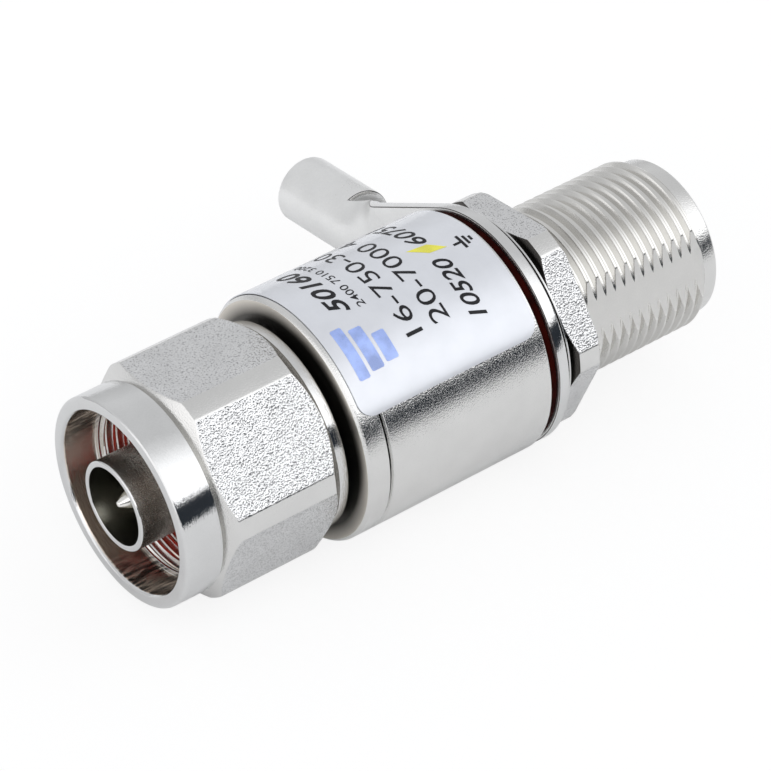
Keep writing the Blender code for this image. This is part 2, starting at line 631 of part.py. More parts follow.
def make_coupling_nut():
    """A turned blank cut to a hexagon, so that the chamfers leave their scallops on the flats."""
    front = COUPLING_FRONT
    rear = COUPLING_REAR
    collar_rear = front + COLLAR_LENGTH
    groove_end = collar_rear + COLLAR_GROOVE_WIDTH
    front_chamfer = (COUPLING_TURNED_RADIUS - COLLAR_GROOVE_RADIUS) * math.tan(NUT_CHAMFER_ANGLE)
    rim_front = rear - REAR_RIM_LENGTH
    rear_chamfer = (COUPLING_TURNED_RADIUS - COLLAR_RADIUS) * math.tan(REAR_CHAMFER_ANGLE)
    thread_front = front + MOUTH_DEPTH
    thread_rear = thread_front + COUPLING_THREAD_LENGTH
    thread = THREAD_RADIUS - THREAD_DEPTH / 2
    neck_bore = NECK_RADIUS + RUN
    groove = SNAP_RING_RADIUS + RUN
    groove_front = SNAP_RING_FRONT - RUN
    groove_rear = SNAP_RING_REAR + RUN
    outline = [
        (front, MOUTH_RADIUS + EDGE),
        (front, COLLAR_RADIUS - EDGE),
        (front + EDGE, COLLAR_RADIUS),
        (collar_rear, COLLAR_RADIUS),
        (collar_rear, COLLAR_GROOVE_RADIUS),
        (groove_end, COLLAR_GROOVE_RADIUS),
        (groove_end + front_chamfer, COUPLING_TURNED_RADIUS),
        (rim_front - rear_chamfer, COUPLING_TURNED_RADIUS),
        (rim_front, COLLAR_RADIUS),
        (rear - EDGE, COLLAR_RADIUS),
        (rear, COLLAR_RADIUS - EDGE),
        (rear, neck_bore),
        (groove_rear, neck_bore),
        (groove_rear, groove),
        (groove_front, groove),
        (groove_front, neck_bore),
        (NECK_FRONT, neck_bore),
        (NECK_FRONT, MOUTH_RADIUS),
        (thread_rear, MOUTH_RADIUS),
        (thread_rear, thread),
        (thread_front, thread),
        (thread_front, MOUTH_RADIUS),
        (front + EDGE, MOUTH_RADIUS),
    ]
    nut = piece("coupling_nut", spun(outline, WIDE_SIDES), PLATED)
    flats = cutter("coupling_hexagon", hexagon(COUPLING_FLATS, front - EDGE, rear + EDGE))
    boolean(nut, flats, "INTERSECT")
    rolled(nut, COUPLING_ROLL, flats)


def make_panel_gasket():
    outline = [
        (FIT, THREAD_RADIUS + RUN),
        (FIT, GASKET_RADIUS),
        (FIT + GASKET_THICKNESS, GASKET_RADIUS),
        (FIT + GASKET_THICKNESS, THREAD_RADIUS + RUN),
    ]
    piece("panel_gasket", spun(outline, WIDE_SIDES), RED_SILICONE)


def lug_outline_radius(angle):
    """How far the flat part of the lug reaches at an angle from its own axis."""
    angle = abs(angle)
    tangent = math.pi / 2 - LUG_TAPER
    if angle >= tangent:
        return LUG_RING_RADIUS
    to_side = LUG_RING_RADIUS / math.cos(tangent - angle)
    return min(to_side, LUG_FLAT_REACH / max(math.cos(angle), 0.1))


def lug_half_width(reach):
    """Half the tongue's width, narrowing at the taper to the barrel's own radius."""
    side = LUG_RING_RADIUS / math.cos(LUG_TAPER) - reach * math.tan(LUG_TAPER)
    return max(side, LUG_BARREL_RADIUS)


def lug_curl(reach):
    """Curvature across the lug: none on the flat part, the barrel's own from the crimp on."""
    share = (reach - LUG_FLAT_REACH) / (LUG_CRIMP_START - LUG_FLAT_REACH)
    share = min(max(share, 0.0), 1.0)
    return share * share * (3 - 2 * share) / (LUG_BARREL_RADIUS - SHEET / 2)


def make_ground_lug():
    """A flat blank with its hole, tapered tongue and two ears, which is then rolled into the crimp barrel."""
    shape = bmesh.new()
    corner = math.atan2(lug_half_width(LUG_FLAT_REACH), LUG_FLAT_REACH)
    tangent = math.pi / 2 - LUG_TAPER
    tongue = [corner * k / 5 for k in range(-5, 6)]
    sides = [corner + (tangent - corner) * k / 3 for k in range(1, 4)]
    back = [tangent + (math.tau - 2 * tangent) * k / 28 for k in range(1, 28)]
    angles = tongue + sides + back + [-a for a in reversed(sides)]
    hole = THREAD_RADIUS + RUN

    def corner_at(y, z):
        return shape.verts.new((LUG_FRONT, y, z))

    def strip(first, second):
        for k in range(len(first) - 1):
            shape.faces.new((first[k], first[k + 1], second[k + 1], second[k]))

    inner = [corner_at(hole * math.cos(a), hole * math.sin(a)) for a in angles]
    outer = []
    for a in angles:
        radius = lug_outline_radius(a)
        outer.append(corner_at(radius * math.cos(a), radius * math.sin(a)))
    strip(inner + inner[:1], outer + outer[:1])

    row = outer[: len(tongue)]
    shares = [vert.co.z / row[-1].co.z for vert in row]
    for k in range(1, 7):
        reach = LUG_FLAT_REACH + (LUG_CRIMP_START - LUG_FLAT_REACH) * k / 6
        following = [corner_at(reach, share * lug_half_width(reach)) for share in shares]
        strip(row, following)
        row = following

    half_blank = math.pi * (LUG_BARREL_RADIUS - SHEET / 2) - LUG_SEAM / 2
    ear = [row[-1].co.z + (half_blank - row[-1].co.z) * k / 7 for k in range(1, 8)]
    row = (
        [corner_at(LUG_CRIMP_START, -z) for z in reversed(ear)]
        + row
        + [corner_at(LUG_CRIMP_START, z) for z in ear]
    )
    for k in range(1, 3):
        reach = LUG_CRIMP_START + (LUG_REACH - LUG_CRIMP_START) * k / 2
        following = [corner_at(reach, vert.co.z) for vert in row]
        strip(row, following)
        row = following

    bmesh.ops.recalc_face_normals(shape, faces=shape.faces)
    thick = bmesh.ops.extrude_face_region(shape, geom=shape.faces[:])["geom"]
    top = [item for item in thick if isinstance(item, bmesh.types.BMVert)]
    bmesh.ops.translate(shape, verts=top, vec=(SHEET, 0, 0))
    for vert in shape.verts:
        curl = lug_curl(vert.co.y)
        if curl > 0:
            middle = 1 / curl
            depth = vert.co.x - LUG_FRONT
            radius = middle + SHEET / 2 - depth
            angle = vert.co.z * curl
            vert.co.x = LUG_FRONT + middle + SHEET / 2 - radius * math.cos(angle)
            vert.co.z = radius * math.sin(angle)
    bmesh.ops.recalc_face_normals(shape, faces=shape.faces)
    lug = piece("ground_lug", shape, TINNED)
    rolled(lug, LUG_ANGLE)


def make_lock_washer():
    """A flat ring with internal teeth."""
    shape = bmesh.new()
    rim = LOCK_WASHER_RADIUS - LOCK_WASHER_RIM
    tip = THREAD_RADIUS + RUN
    pitch = math.tau / LOCK_WASHER_TEETH
    outer = []
    inner = []
    for k in range(LOCK_WASHER_TEETH):
        for share, reach in ((-0.27, rim), (-0.21, tip), (0.21, tip), (0.27, rim)):
            angle = pitch * (k + share)
            direction = Vector((0, math.cos(angle), math.sin(angle)))
            outer.append(shape.verts.new(Vector((WASHER_FRONT, 0, 0)) + direction * LOCK_WASHER_RADIUS))
            inner.append(shape.verts.new(Vector((WASHER_FRONT, 0, 0)) + direction * reach))
    count = len(outer)
    for k in range(count):
        j = (k + 1) % count
        shape.faces.new((outer[k], outer[j], inner[j], inner[k]))
    thick = bmesh.ops.extrude_face_region(shape, geom=shape.faces[:])["geom"]
    top = [item for item in thick if isinstance(item, bmesh.types.BMVert)]
    bmesh.ops.translate(shape, verts=top, vec=(LOCK_WASHER_THICKNESS, 0, 0))
    bmesh.ops.recalc_face_normals(shape, faces=shape.faces)
    piece("lock_washer", shape, PLATED)


def make_panel_nut():
    """A hexagonal nut with its chamfer towards the washer."""
    chamfer = (PANEL_NUT_TURNED_RADIUS - PANEL_NUT_FACE_RADIUS) * math.tan(NUT_CHAMFER_ANGLE)
    bore = THREAD_RADIUS + FIT
    sink = bore + NUT_COUNTERSINK
    front = PANEL_NUT_FRONT
    rear = PANEL_NUT_REAR
    outline = [
        (front, sink),
        (front, PANEL_NUT_FACE_RADIUS),
        (front + chamfer, PANEL_NUT_TURNED_RADIUS),
        (rear - PANEL_NUT_BEVEL, PANEL_NUT_TURNED_RADIUS),
        (rear, PANEL_NUT_TURNED_RADIUS - PANEL_NUT_BEVEL),
        (rear, sink),
        (rear - NUT_COUNTERSINK, bore),
        (front + NUT_COUNTERSINK, bore),
    ]
    nut = piece("panel_nut", spun(outline, WIDE_SIDES), PLATED)
    flats = cutter("panel_nut_hexagon", hexagon(PANEL_NUT_FLATS, front - EDGE, rear + EDGE))
    boolean(nut, flats, "INTERSECT")
    rolled(nut, PANEL_NUT_ROLL, flats)


def make_label():
    """A film with round corners, wrapped over the flange and the body."""
    front = FLANGE_FRONT + LABEL_FRONT_MARGIN
    rear = -LABEL_REAR_MARGIN
    inner = BODY_RADIUS + FIT
    corner = LABEL_CORNER / inner
    ends = [corner * (1 - math.cos(math.radians(a))) for a in (0, 22.5, 45, 67.5, 90)]
    middle = [corner + (LABEL_ARC - 2 * corner) * k / 30 for k in range(1, 30)]
    rows = ends + middle + [LABEL_ARC - end for end in reversed(ends)]
    shape = bmesh.new()
    previous = None
    for down in rows:
        near = min(down, LABEL_ARC - down) * inner
        inset = 0.0
        if near < LABEL_CORNER:
            inset = LABEL_CORNER - math.sqrt(LABEL_CORNER**2 - (LABEL_CORNER - near) ** 2)
        angle = LABEL_LOW_EDGE - down
        y = inner * math.cos(angle)
        z = inner * math.sin(angle)
        pair = (shape.verts.new((front + inset, y, z)), shape.verts.new((rear - inset, y, z)))
        if previous:
            shape.faces.new((previous[0], previous[1], pair[1], pair[0]))
        previous = pair
    thick = bmesh.ops.extrude_face_region(shape, geom=shape.faces[:])["geom"]
    grow = (inner + LABEL_THICKNESS) / inner
    for vert in (item for item in thick if isinstance(item, bmesh.types.BMVert)):
        vert.co.y *= grow
        vert.co.z *= grow
    bmesh.ops.recalc_face_normals(shape, faces=shape.faces)
    piece("label", shape, LABEL_FILM)


def stand_on_floor():
    """Places the axis so that the model's box stands on z = 0, centred on the origin."""
    bpy.context.view_layer.update()
    graph = bpy.context.evaluated_depsgraph_get()
    points = []
    for item in bpy.context.collection.objects:
        if item.type == "EMPTY" or item.hide_render:
            continue
        shown = item.evaluated_get(graph)
        mesh = shown.to_mesh()
        points += [shown.matrix_world @ vert.co for vert in mesh.vertices]
        shown.to_mesh_clear()
    low = Vector(min(p[k] for p in points) for k in range(3))
    high = Vector(max(p[k] for p in points) for k in range(3))
    AXIS.location = Vector((-(low.x + high.x) / 2, -(low.y + high.y) / 2, -low.z))


clear_scene()
AXIS = bpy.data.objects.new("connector_axis", None)
AXIS.empty_display_size = BODY_RADIUS
bpy.context.collection.objects.link(AXIS)

PLATED = finish("nickel_plate", (0.72, 0.71, 0.69), 0.28, 1.0)
CONTACT_PLATE = finish("contact_plate", (0.55, 0.53, 0.5), 0.3, 1.0)
SILVER_PLATE = finish("silver_plate", (0.85, 0.83, 0.8), 0.25, 1.0)
TINNED = finish("tinned_copper", (0.74, 0.73, 0.71), 0.42, 1.0)
SPRING_WIRE_FINISH = finish("spring_steel", (0.6, 0.58, 0.54), 0.35, 1.0)
RED_SILICONE = finish("red_silicone", (0.28, 0.02, 0.015), 0.45, 0.0)
BLACK_RUBBER = finish("black_rubber", (0.02, 0.02, 0.02), 0.6, 0.0)
PTFE = finish("ptfe", (0.88, 0.88, 0.86), 0.45, 0.0)
CERAMIC = finish("ceramic", (0.9, 0.88, 0.84), 0.35, 0.0)
LABEL_FILM = finish("label_film", (0.86, 0.87, 0.9), 0.2, 0.0)

make_main_body()
make_plug_housing()
make_housing_seal()
make_plug_outer_contact()
make_plug_gasket()
make_plug_pin()
bead("plug_insulator", PLUG_INSULATOR_FRONT, PLUG_INSULATOR_REAR, PLUG_INSULATOR_RADIUS)
bead("jack_insulator", JACK_INSULATOR_FRONT, JACK_INSULATOR_REAR, JACK_BORE_RADIUS - FIT)
make_centre_conductor()
make_jack_socket()
make_jack_bush()
make_gas_tube()
make_gas_tube_spring()
make_gas_tube_cap()
make_snap_ring()
make_coupling_nut()
make_panel_gasket()
make_ground_lug()
make_lock_washer()
make_panel_nut()
make_label()
stand_on_floor()
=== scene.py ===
import math

import bmesh
import bpy
from mathutils import Matrix, Vector


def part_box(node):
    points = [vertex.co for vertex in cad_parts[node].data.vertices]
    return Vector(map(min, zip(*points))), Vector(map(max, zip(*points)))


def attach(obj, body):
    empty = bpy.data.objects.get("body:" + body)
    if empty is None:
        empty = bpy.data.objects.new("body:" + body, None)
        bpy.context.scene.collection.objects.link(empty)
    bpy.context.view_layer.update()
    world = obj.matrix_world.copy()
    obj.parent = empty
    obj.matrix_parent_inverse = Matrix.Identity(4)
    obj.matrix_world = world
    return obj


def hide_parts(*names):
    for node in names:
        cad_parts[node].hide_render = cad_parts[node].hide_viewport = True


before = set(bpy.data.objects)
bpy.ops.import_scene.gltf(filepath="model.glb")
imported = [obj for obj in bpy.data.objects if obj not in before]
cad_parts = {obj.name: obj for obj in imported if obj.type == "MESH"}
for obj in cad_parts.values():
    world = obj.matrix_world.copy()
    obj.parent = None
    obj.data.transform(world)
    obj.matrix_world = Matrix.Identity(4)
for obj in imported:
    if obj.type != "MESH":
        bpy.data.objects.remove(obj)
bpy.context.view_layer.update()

# Lengths are in millimetres, on the connector's axis: X runs from the plug to the jack, and x = 0 is the
# body's shoulder. place() takes a finished piece from there to the frame's metres.
JACK_END = 21.75
LEAD_IN = 20.25
BODY_R = 11.1
SEAM = -17.05
FLANGE_REAR = SEAM - 0.05
FLANGE_FRONT = FLANGE_REAR - 2.3
NECK_FRONT = FLANGE_FRONT - 7.9
SLEEVE_REAR = NECK_FRONT + 3.0
NUT_REAR = FLANGE_FRONT - 0.85
NUT_FRONT = NUT_REAR - 16.3
SLEEVE_FRONT = NUT_FRONT - 0.6
THREAD_R = 7.9375
ROOT_R = 7.37
PITCH = 1.0583
FLAT_TO_AXIS = 7.27
FLAT_ANGLE = math.radians(163.4)
LEAD_R = 7.3
BARREL_R = 7.1
INSIDE_BARREL_R = 7.0
JACK_BORE_R = 4.08
LINE_R = 3.5
SPIGOT_HOLE_R = 8.07
SPIGOT_R = 8.0
NECK_R = 7.2
SLEEVE_R = 4.03
COLLAR_R = 9.42
NUT_R = 10.5
NUT_BORE_R = 7.35
NUT_MOUTH_R = 8.15
STACK_HOLE_R = 8.1
ACROSS_FLATS = 19.05
COUPLING_ROLL = math.radians(141)
PANEL_ROLL = math.radians(143)
HEX_FROM_R = 9.3

MM = 0.001
FINE_BUMP = 1e-5
PIT_BUMP = 1e-4
PIT_SIZE = 0.15

low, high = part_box("main_body")
AXIS = Vector((high[0] - JACK_END * MM, (low[1] + high[1]) / 2, (low[2] + high[2]) / 2))


# Materials


class Tree:
    """A small builder for a node tree."""

    def __init__(self, tree):
        self.tree = tree

    def add(self, kind, inputs=None, **settings):
        node = self.tree.nodes.new("ShaderNode" + kind)
        for key, value in settings.items():
            setattr(node, key, value)
        for key, value in (inputs or {}).items():
            self.feed(node.inputs[key], value)
        return node

    def feed(self, socket, value):
        if isinstance(value, bpy.types.NodeSocket):
            self.tree.links.new(value, socket)
        else:
            socket.default_value = value

    def math(self, operation, *values):
        return self.add("Math", dict(enumerate(values)), operation=operation).outputs[0]

    def vector(self, operation, *values):
        return self.add("VectorMath", dict(enumerate(values)), operation=operation)

    def ramp(self, factor, stops):
        node = self.add("ValToRGB", {0: factor})
        ramp = node.color_ramp
        while len(ramp.elements) < len(stops):
            ramp.elements.new(1.0)
        for element, (position, colour) in zip(ramp.elements, stops):
            element.position = position
            element.color = (*colour, 1.0) if isinstance(colour, tuple) else (colour, colour, colour, 1.0)
        return node.outputs[0]

    def range(self, value, low, high, to_low, to_high):
        return self.add("MapRange", {0: value, 1: low, 2: high, 3: to_low, 4: to_high}).outputs[0]

    def mix(self, factor, a, b):
        return self.add("Mix", {0: factor, 6: a, 7: b}, data_type="RGBA").outputs[2]


class Nodes(Tree):
    """The node tree of one material."""

    def __init__(self, name):
        self.material = bpy.data.materials.new(name)
        self.material.use_nodes = True
        super().__init__(self.material.node_tree)
        self.shader = self.tree.nodes["Principled BSDF"]

    def surface(self, **inputs):
        """Feeds the shader's inputs, named with _ for a space."""
        for key, value in inputs.items():
            self.feed(self.shader.inputs[key.replace("_", " ")], value)

    def place(self):
        """Object coordinates in millimetres, from the connector's axis."""
        where = self.add("TexCoord").outputs["Object"]
        moved = self.vector("SUBTRACT", where, tuple(AXIS)).outputs[0]
        return self.add("VectorMath", {0: moved, "Scale": 1 / MM}, operation="SCALE").outputs[0]

    def turned(self, where):
        """(x, radius, 0) of a place, in which turning marks are straight lines."""
        split = self.add("SeparateXYZ", {0: where})
        y, z = split.outputs[1], split.outputs[2]
        square = self.math("ADD", self.math("MULTIPLY", y, y), self.math("MULTIPLY", z, z))
        radius = self.math("SQRT", square)
        return self.add("CombineXYZ", {0: split.outputs[0], 1: radius, 2: 0.0}).outputs[0]

    def noise(self, where, scale, detail=2.0, roughness=0.5):
        given = {"Vector": where, "Scale": scale, "Detail": detail, "Roughness": roughness}
        return self.add("TexNoise", given).outputs[0]

    def bump(self, height, distance, normal=None):
        given = {"Height": height, "Distance": distance}
        if normal is not None:
            given["Normal"] = normal
        return self.add("Bump", given).outputs[0]


def tinted(colour, share):
    """A shade of a colour, as a socket's value."""
    return (*(c * share for c in colour), 1.0)


def plated(
    name, colour, rough, grain=0.0, grain_size=0.12, lines=0.0, vary=0.06, pits=0.0, drag=0.0, painted_reflection_streaks=0.0,
    shade=None,
):
    """Nickel, silver or tin plate: a mottled skin, with grain, turning marks or blasting where asked.

    Dark streaks on two sides, where asked, are a painted reflection. shade gives the two radii between
    which painted shade turns from dark to the colour.
    """
    n = Nodes(name)
    where = n.place()
    cloud = n.noise(where, 0.35, 3.0)
    fine = n.noise(where, 1.0 / grain_size, 2.0, 0.6)
    dark = tuple(c * (1 - vary) for c in colour)
    light = tuple(min(1.0, c * (1 + vary * 0.5)) for c in colour)
    tone = n.math("ADD", n.math("MULTIPLY", cloud, 0.6), n.math("MULTIPLY", fine, 0.4))
    skin = n.ramp(tone, [(0.3, dark), (0.7, light)])
    if pits:
        dents = n.noise(where, 1.0 / PIT_SIZE, 0.8, 0.5)
        # Painted shade: the pit bottoms are darkened in colour besides their bump.
        skin = n.mix(n.ramp(dents, [(0.34, 0.0), (0.42, 1.0)]), tinted(colour, 0.58), skin)
    # Painted reflection: dark streaks laid on two sides of a wide bore stand in for dark surroundings
    # reflected there.
    if painted_reflection_streaks:
        across = n.vector("DOT_PRODUCT", where, (0.0, 0.54, 0.84)).outputs["Value"]
        streaks = n.noise(n.vector("MULTIPLY", where, (0.5, 2.6, 2.6)).outputs[0], 1.0)
        sides = n.range(n.math("ABSOLUTE", across), 4.6, 6.8, 0.0, painted_reflection_streaks)
        painted_reflection_mask = n.math("MULTIPLY", sides, n.range(streaks, 0.42, 0.56, 0.15, 1.0))
        skin = n.mix(painted_reflection_mask, skin, tinted(colour, 0.04))
    # Painted shade: the colour is darkened inside the first radius and turns to the colour by the second.
    if shade:
        radius = n.add("SeparateXYZ", {0: n.turned(where)}).outputs[1]
        skin = n.mix(n.range(radius, *shade, 0.0, 1.0), tinted(colour, 0.12), skin)
    wear = n.math("ADD", n.math("MULTIPLY", cloud, 0.5), n.math("MULTIPLY", fine, 0.5))
    n.surface(Base_Color=skin, Metallic=1.0, Roughness=n.range(wear, 0.25, 0.75, rough * 0.8, rough * 1.25))
    normal = None
    if lines:
        normal = n.bump(n.noise(n.turned(where), 22.0, 3.0, 0.7), lines * FINE_BUMP)
    if drag:
        stretched = n.vector("MULTIPLY", where, (9.0, 1.6, 1.6)).outputs[0]
        normal = n.bump(n.noise(stretched, 1.0, 2.5, 0.65), drag * FINE_BUMP, normal)
    if grain:
        normal = n.bump(fine, grain * FINE_BUMP, normal)
    if pits:
        normal = n.bump(dents, pits * PIT_BUMP, normal)
    if normal is not None:
        n.surface(Normal=normal)
    return n.material


def moulded(name, colour, rough, vary=0.15, grain=1.0, coat=0.0, subsurface=0.0, spec=0.5, metal=0.0):
    """Rubber, PTFE, ceramic, film and ink: a plain body colour with a fine skin."""
    n = Nodes(name)
    where = n.place()
    cloud = n.noise(where, 0.6, 3.0)
    fine = n.noise(where, 9.0)
    dark = tuple(c * (1 - vary) for c in colour)
    light = tuple(min(1.0, c * (1 + vary)) for c in colour)
    n.surface(
        Base_Color=n.ramp(cloud, [(0.35, dark), (0.65, light)]),
        Roughness=n.range(fine, 0.3, 0.7, rough * 0.85, rough * 1.15),
        Normal=n.bump(fine, grain * FINE_BUMP),
        Coat_Weight=coat, Coat_Roughness=0.08, Subsurface_Weight=subsurface, Subsurface_Scale=0.0005,
        Specular_IOR_Level=spec, Metallic=metal,
    )
    return n.material


NICKEL = (0.72, 0.715, 0.70)
SATIN = plated("nickel_satin", NICKEL, 0.12, grain=2.2, grain_size=0.13, lines=0.1)
POLISHED = plated(
    "nickel_polished", (0.70, 0.70, 0.695), 0.075, grain=0.3, grain_size=0.13, lines=0.3, drag=1.6
)
# Blasted flats; their pit bottoms are painted darker as shade.
BLASTED = plated("nickel_blasted", (0.74, 0.74, 0.74), 0.13, grain=0.2, vary=0.1, pits=0.78)
MILLED = plated("nickel_milled", (0.80, 0.79, 0.765), 0.34, grain=1.2, grain_size=0.16)
THREAD = plated("nickel_thread", (0.71, 0.70, 0.675), 0.17, grain=0.5, lines=0.15)
# The bores' warm nickel, with painted dark reflection streaks on two sides of the coupling nut's bore.
BORE = plated("nickel_bore", (0.72, 0.64, 0.57), 0.10, grain=0.5, lines=0.6, drag=2.0, painted_reflection_streaks=0.92)
# Near-black nickel as painted shade, laid in the body seam, the washer's recessed rims, the panel nut's
# front chamfer and a slant of the lug's rims.
PAINTED_SHADE_DARK = plated("painted_shade_black_nickel", (0.08, 0.075, 0.07), 0.2, grain=0.6, lines=0.6)
CONTACT_BORE = plated(
    "contact_bore", (0.40, 0.39, 0.34), 0.18, grain=0.6, grain_size=0.1, lines=0.5, drag=1.5
)
# The flange's front face and neck: brownish nickel with painted shade, dark beside the coupling nut and
# lighter outwards.
FLANGE_SHADED_NICKEL = plated(
    "flange_painted_shade_nickel", (0.68, 0.64, 0.58), 0.34, grain=0.8, grain_size=0.1, lines=0.5, drag=1.5,
    shade=(9.55, 10.7),
)
SLEEVE = plated("white_bronze", (0.50, 0.475, 0.44), 0.26, grain=0.8, grain_size=0.1, lines=0.5, drag=1.5)
SILVER = plated("silver_plate", (0.90, 0.885, 0.85), 0.2, grain=0.4, grain_size=0.1, lines=0.3)
TIN = plated("tin_plate", (0.84, 0.84, 0.83), 0.31, grain=1.5, grain_size=0.2, vary=0.07)
SPRING = plated("spring_steel", (0.52, 0.50, 0.47), 0.28, grain=0.6, grain_size=0.1)
RED = moulded("red_silicone", (0.70, 0.04, 0.018), 0.45, grain=0.8, spec=0.2)
DARK_RED = moulded("bulkhead_silicone", (0.018, 0.0012, 0.0005), 0.6, vary=0.5, grain=0.8, spec=0.02)
BLACK = moulded("nitrile", (0.018, 0.018, 0.018), 0.5)
PTFE = moulded("ptfe", (0.86, 0.86, 0.84), 0.4, vary=0.03, subsurface=0.2)
CERAMIC = moulded("alumina", (0.86, 0.84, 0.79), 0.35, vary=0.04)
FILM = moulded("label_film", (0.71, 0.725, 0.765), 0.22, vary=0.02, grain=0.1, coat=0.6, metal=0.38)
INK = moulded("black_ink", (0.010, 0.010, 0.012), 0.4, spec=0.25)
BLUE = moulded("blue_ink", (0.33, 0.44, 0.84), 0.3, vary=0.22, coat=0.5)
YELLOW = moulded("yellow_ink", (0.74, 0.70, 0.06), 0.3, vary=0.1, coat=0.5)


# Making pieces

CORNER = 0.07
NUT_CORNER = 0.05
CORNER_STEPS = 3
QUARTERS = 4
NUT_SIDES = 720
NUT_STEP = 0.09
EDGE_WEAR = 0.013
FLAT_DEPTH = 0.035
THREAD_SIDES = 144
THREAD_PHASES = (0, 0.12, 0.3, 0.4, 0.5, 0.6, 0.7, 0.88, 1)
THREAD_FOOT = 0.42
THREAD_FLANK = 0.32
MERGE = 1e-5
THREAD_MERGE = 1e-4


def place(shape):
    matrix = Matrix.Translation(AXIS) @ Matrix.Scale(MM, 4)
    bmesh.ops.transform(shape, matrix=matrix, verts=shape.verts)


def piece(name, shape, body, materials, node=None, sharp=32):
    """Hands a finished shape to the frame. Faces have the first material unless they are marked."""
    place(shape)
    mesh = bpy.data.meshes.new(name)
    shape.to_mesh(mesh)
    shape.free()
    mesh.shade_smooth()
    mesh.set_sharp_from_angle(angle=math.radians(sharp))
    for material in materials if isinstance(materials, (list, tuple)) else [materials]:
        mesh.materials.append(material)
    thing = bpy.data.objects.new(name, mesh)
    bpy.context.collection.objects.link(thing)
    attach(thing, body)
    if node:
        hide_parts(node)
    return thing


def polar(spot):
    """The angle from +Y over the top, the place along the axis and the distance from it."""
    return math.atan2(spot.z, spot.y) % math.tau, spot.x, math.hypot(spot.y, spot.z)


def set_radius(vert, angle, radius):
    vert.co.y = radius * math.cos(angle)
    vert.co.z = radius * math.sin(angle)


def mark(shape, slot_of):
    """Gives each face the material that slot_of(x, radius, the one so far) names."""
    for face in shape.faces:
        _, x, radius = polar(face.calc_center_median())
        face.material_index = slot_of(x, radius, face.material_index)


def soften(outline, radius):
    """Rounds the corners of an outline of (x, radius) or (x, radius, own rounding) points."""
    result = []
    count = len(outline)
    for k, point in enumerate(outline):
        here = Vector(point[:2])
        own = point[2] if len(point) > 2 else radius
        if own == 0:
            result.append(tuple(here))
            continue
        back = Vector(outline[k - 1][:2]) - here
        forth = Vector(outline[(k + 1) % count][:2]) - here
        cut = min(own, back.length * 0.45, forth.length * 0.45)
        first = here + back.normalized() * cut
        last = here + forth.normalized() * cut
        for j in range(CORNER_STEPS + 1):
            t = j / CORNER_STEPS
            result.append(tuple(first * (1 - t) ** 2 + here * 2 * t * (1 - t) + last * t**2))
    return result


def dense(outline, step, above):
    """Adds points along the sloping parts of a closed outline, where they lie outside the radius above."""
    result = []
    for k, point in enumerate(outline):
        after = outline[(k + 1) % len(outline)]
        result.append(point)
        run, rise = after[0] - point[0], after[1] - point[1]
        length = math.hypot(run, rise)
        if min(point[1], after[1]) >= above and length > step and abs(rise) > 1e-3:
            parts = math.ceil(length / step)
            for j in range(1, parts):
                t = j / parts
                result.append((point[0] + run * t, point[1] + rise * t))
    return result


def chain(shape, points, closed=False):
    """A row of vertices at (x, radius) points, joined by edges, as something to spin."""
    row = [shape.verts.new((x, radius, 0)) for x, radius in points]
    edges = [shape.edges.new(pair) for pair in zip(row, row[1:])]
    if closed:
        edges.append(shape.edges.new((row[-1], row[0])))
    return row + edges


def spin(shape, geom, angle, steps, dvec=(0, 0, 0)):
    bmesh.ops.spin(shape, geom=geom, cent=(0, 0, 0), axis=(1, 0, 0), angle=angle, steps=steps, dvec=dvec)


def repeat(shape, matrices):
    """Adds a copy of the whole shape for each matrix."""
    whole = shape.verts[:] + shape.edges[:] + shape.faces[:]
    for matrix in matrices:
        copy = bmesh.ops.duplicate(shape, geom=whole)["geom"]
        moved = [item for item in copy if isinstance(item, bmesh.types.BMVert)]
        bmesh.ops.transform(shape, matrix=matrix, verts=moved)


def revolve(outline, sides, radius_at=None, marked=None, closed=True):
    """A full turn of an outline. radius_at(angle, x, radius) shapes it and marked picks materials."""
    shape = bmesh.new()
    spin(shape, chain(shape, outline, closed), math.tau / QUARTERS, sides // QUARTERS)
    repeat(shape, [Matrix.Rotation(math.tau * k / QUARTERS, 4, "X") for k in range(1, QUARTERS)])
    bmesh.ops.remove_doubles(shape, verts=shape.verts, dist=MERGE)
    if marked:
        for face in shape.faces:
            face.material_index = marked(*polar(face.calc_center_median()))
    if radius_at:
        for vert in shape.verts:
            angle, x, radius = polar(vert.co)
            set_radius(vert, angle, radius_at(angle, x, radius))
    bmesh.ops.recalc_face_normals(shape, faces=shape.faces)
    return shape


def lathe(outline, sides=160):
    return revolve(soften(outline, CORNER), sides)


def hex_radius(angle, roll):
    turn = (angle - roll + math.pi / 6) % (math.pi / 3) - math.pi / 6
    return ACROSS_FLATS / 2 / math.cos(turn)


def soft_min(a, b):
    """The smaller of two radii, blended where they meet, as a worn edge is."""
    gap = min(abs(a - b) / EDGE_WEAR, 40.0)
    return min(a, b) - EDGE_WEAR * math.log1p(math.exp(-gap))


def hex_nut(outline, roll):
    """A nut, cut to six flats where its outline lies outside HEX_FROM_R. The flats get material 1."""

    def radius_at(angle, x, radius):
        return soft_min(radius, hex_radius(angle, roll)) if radius > HEX_FROM_R else radius

    def marked(angle, x, radius):
        return 1 if radius > HEX_FROM_R and hex_radius(angle, roll) < radius - FLAT_DEPTH else 0

    rounded = dense(soften(outline, NUT_CORNER), NUT_STEP, HEX_FROM_R)
    return revolve(rounded, NUT_SIDES, radius_at, marked)


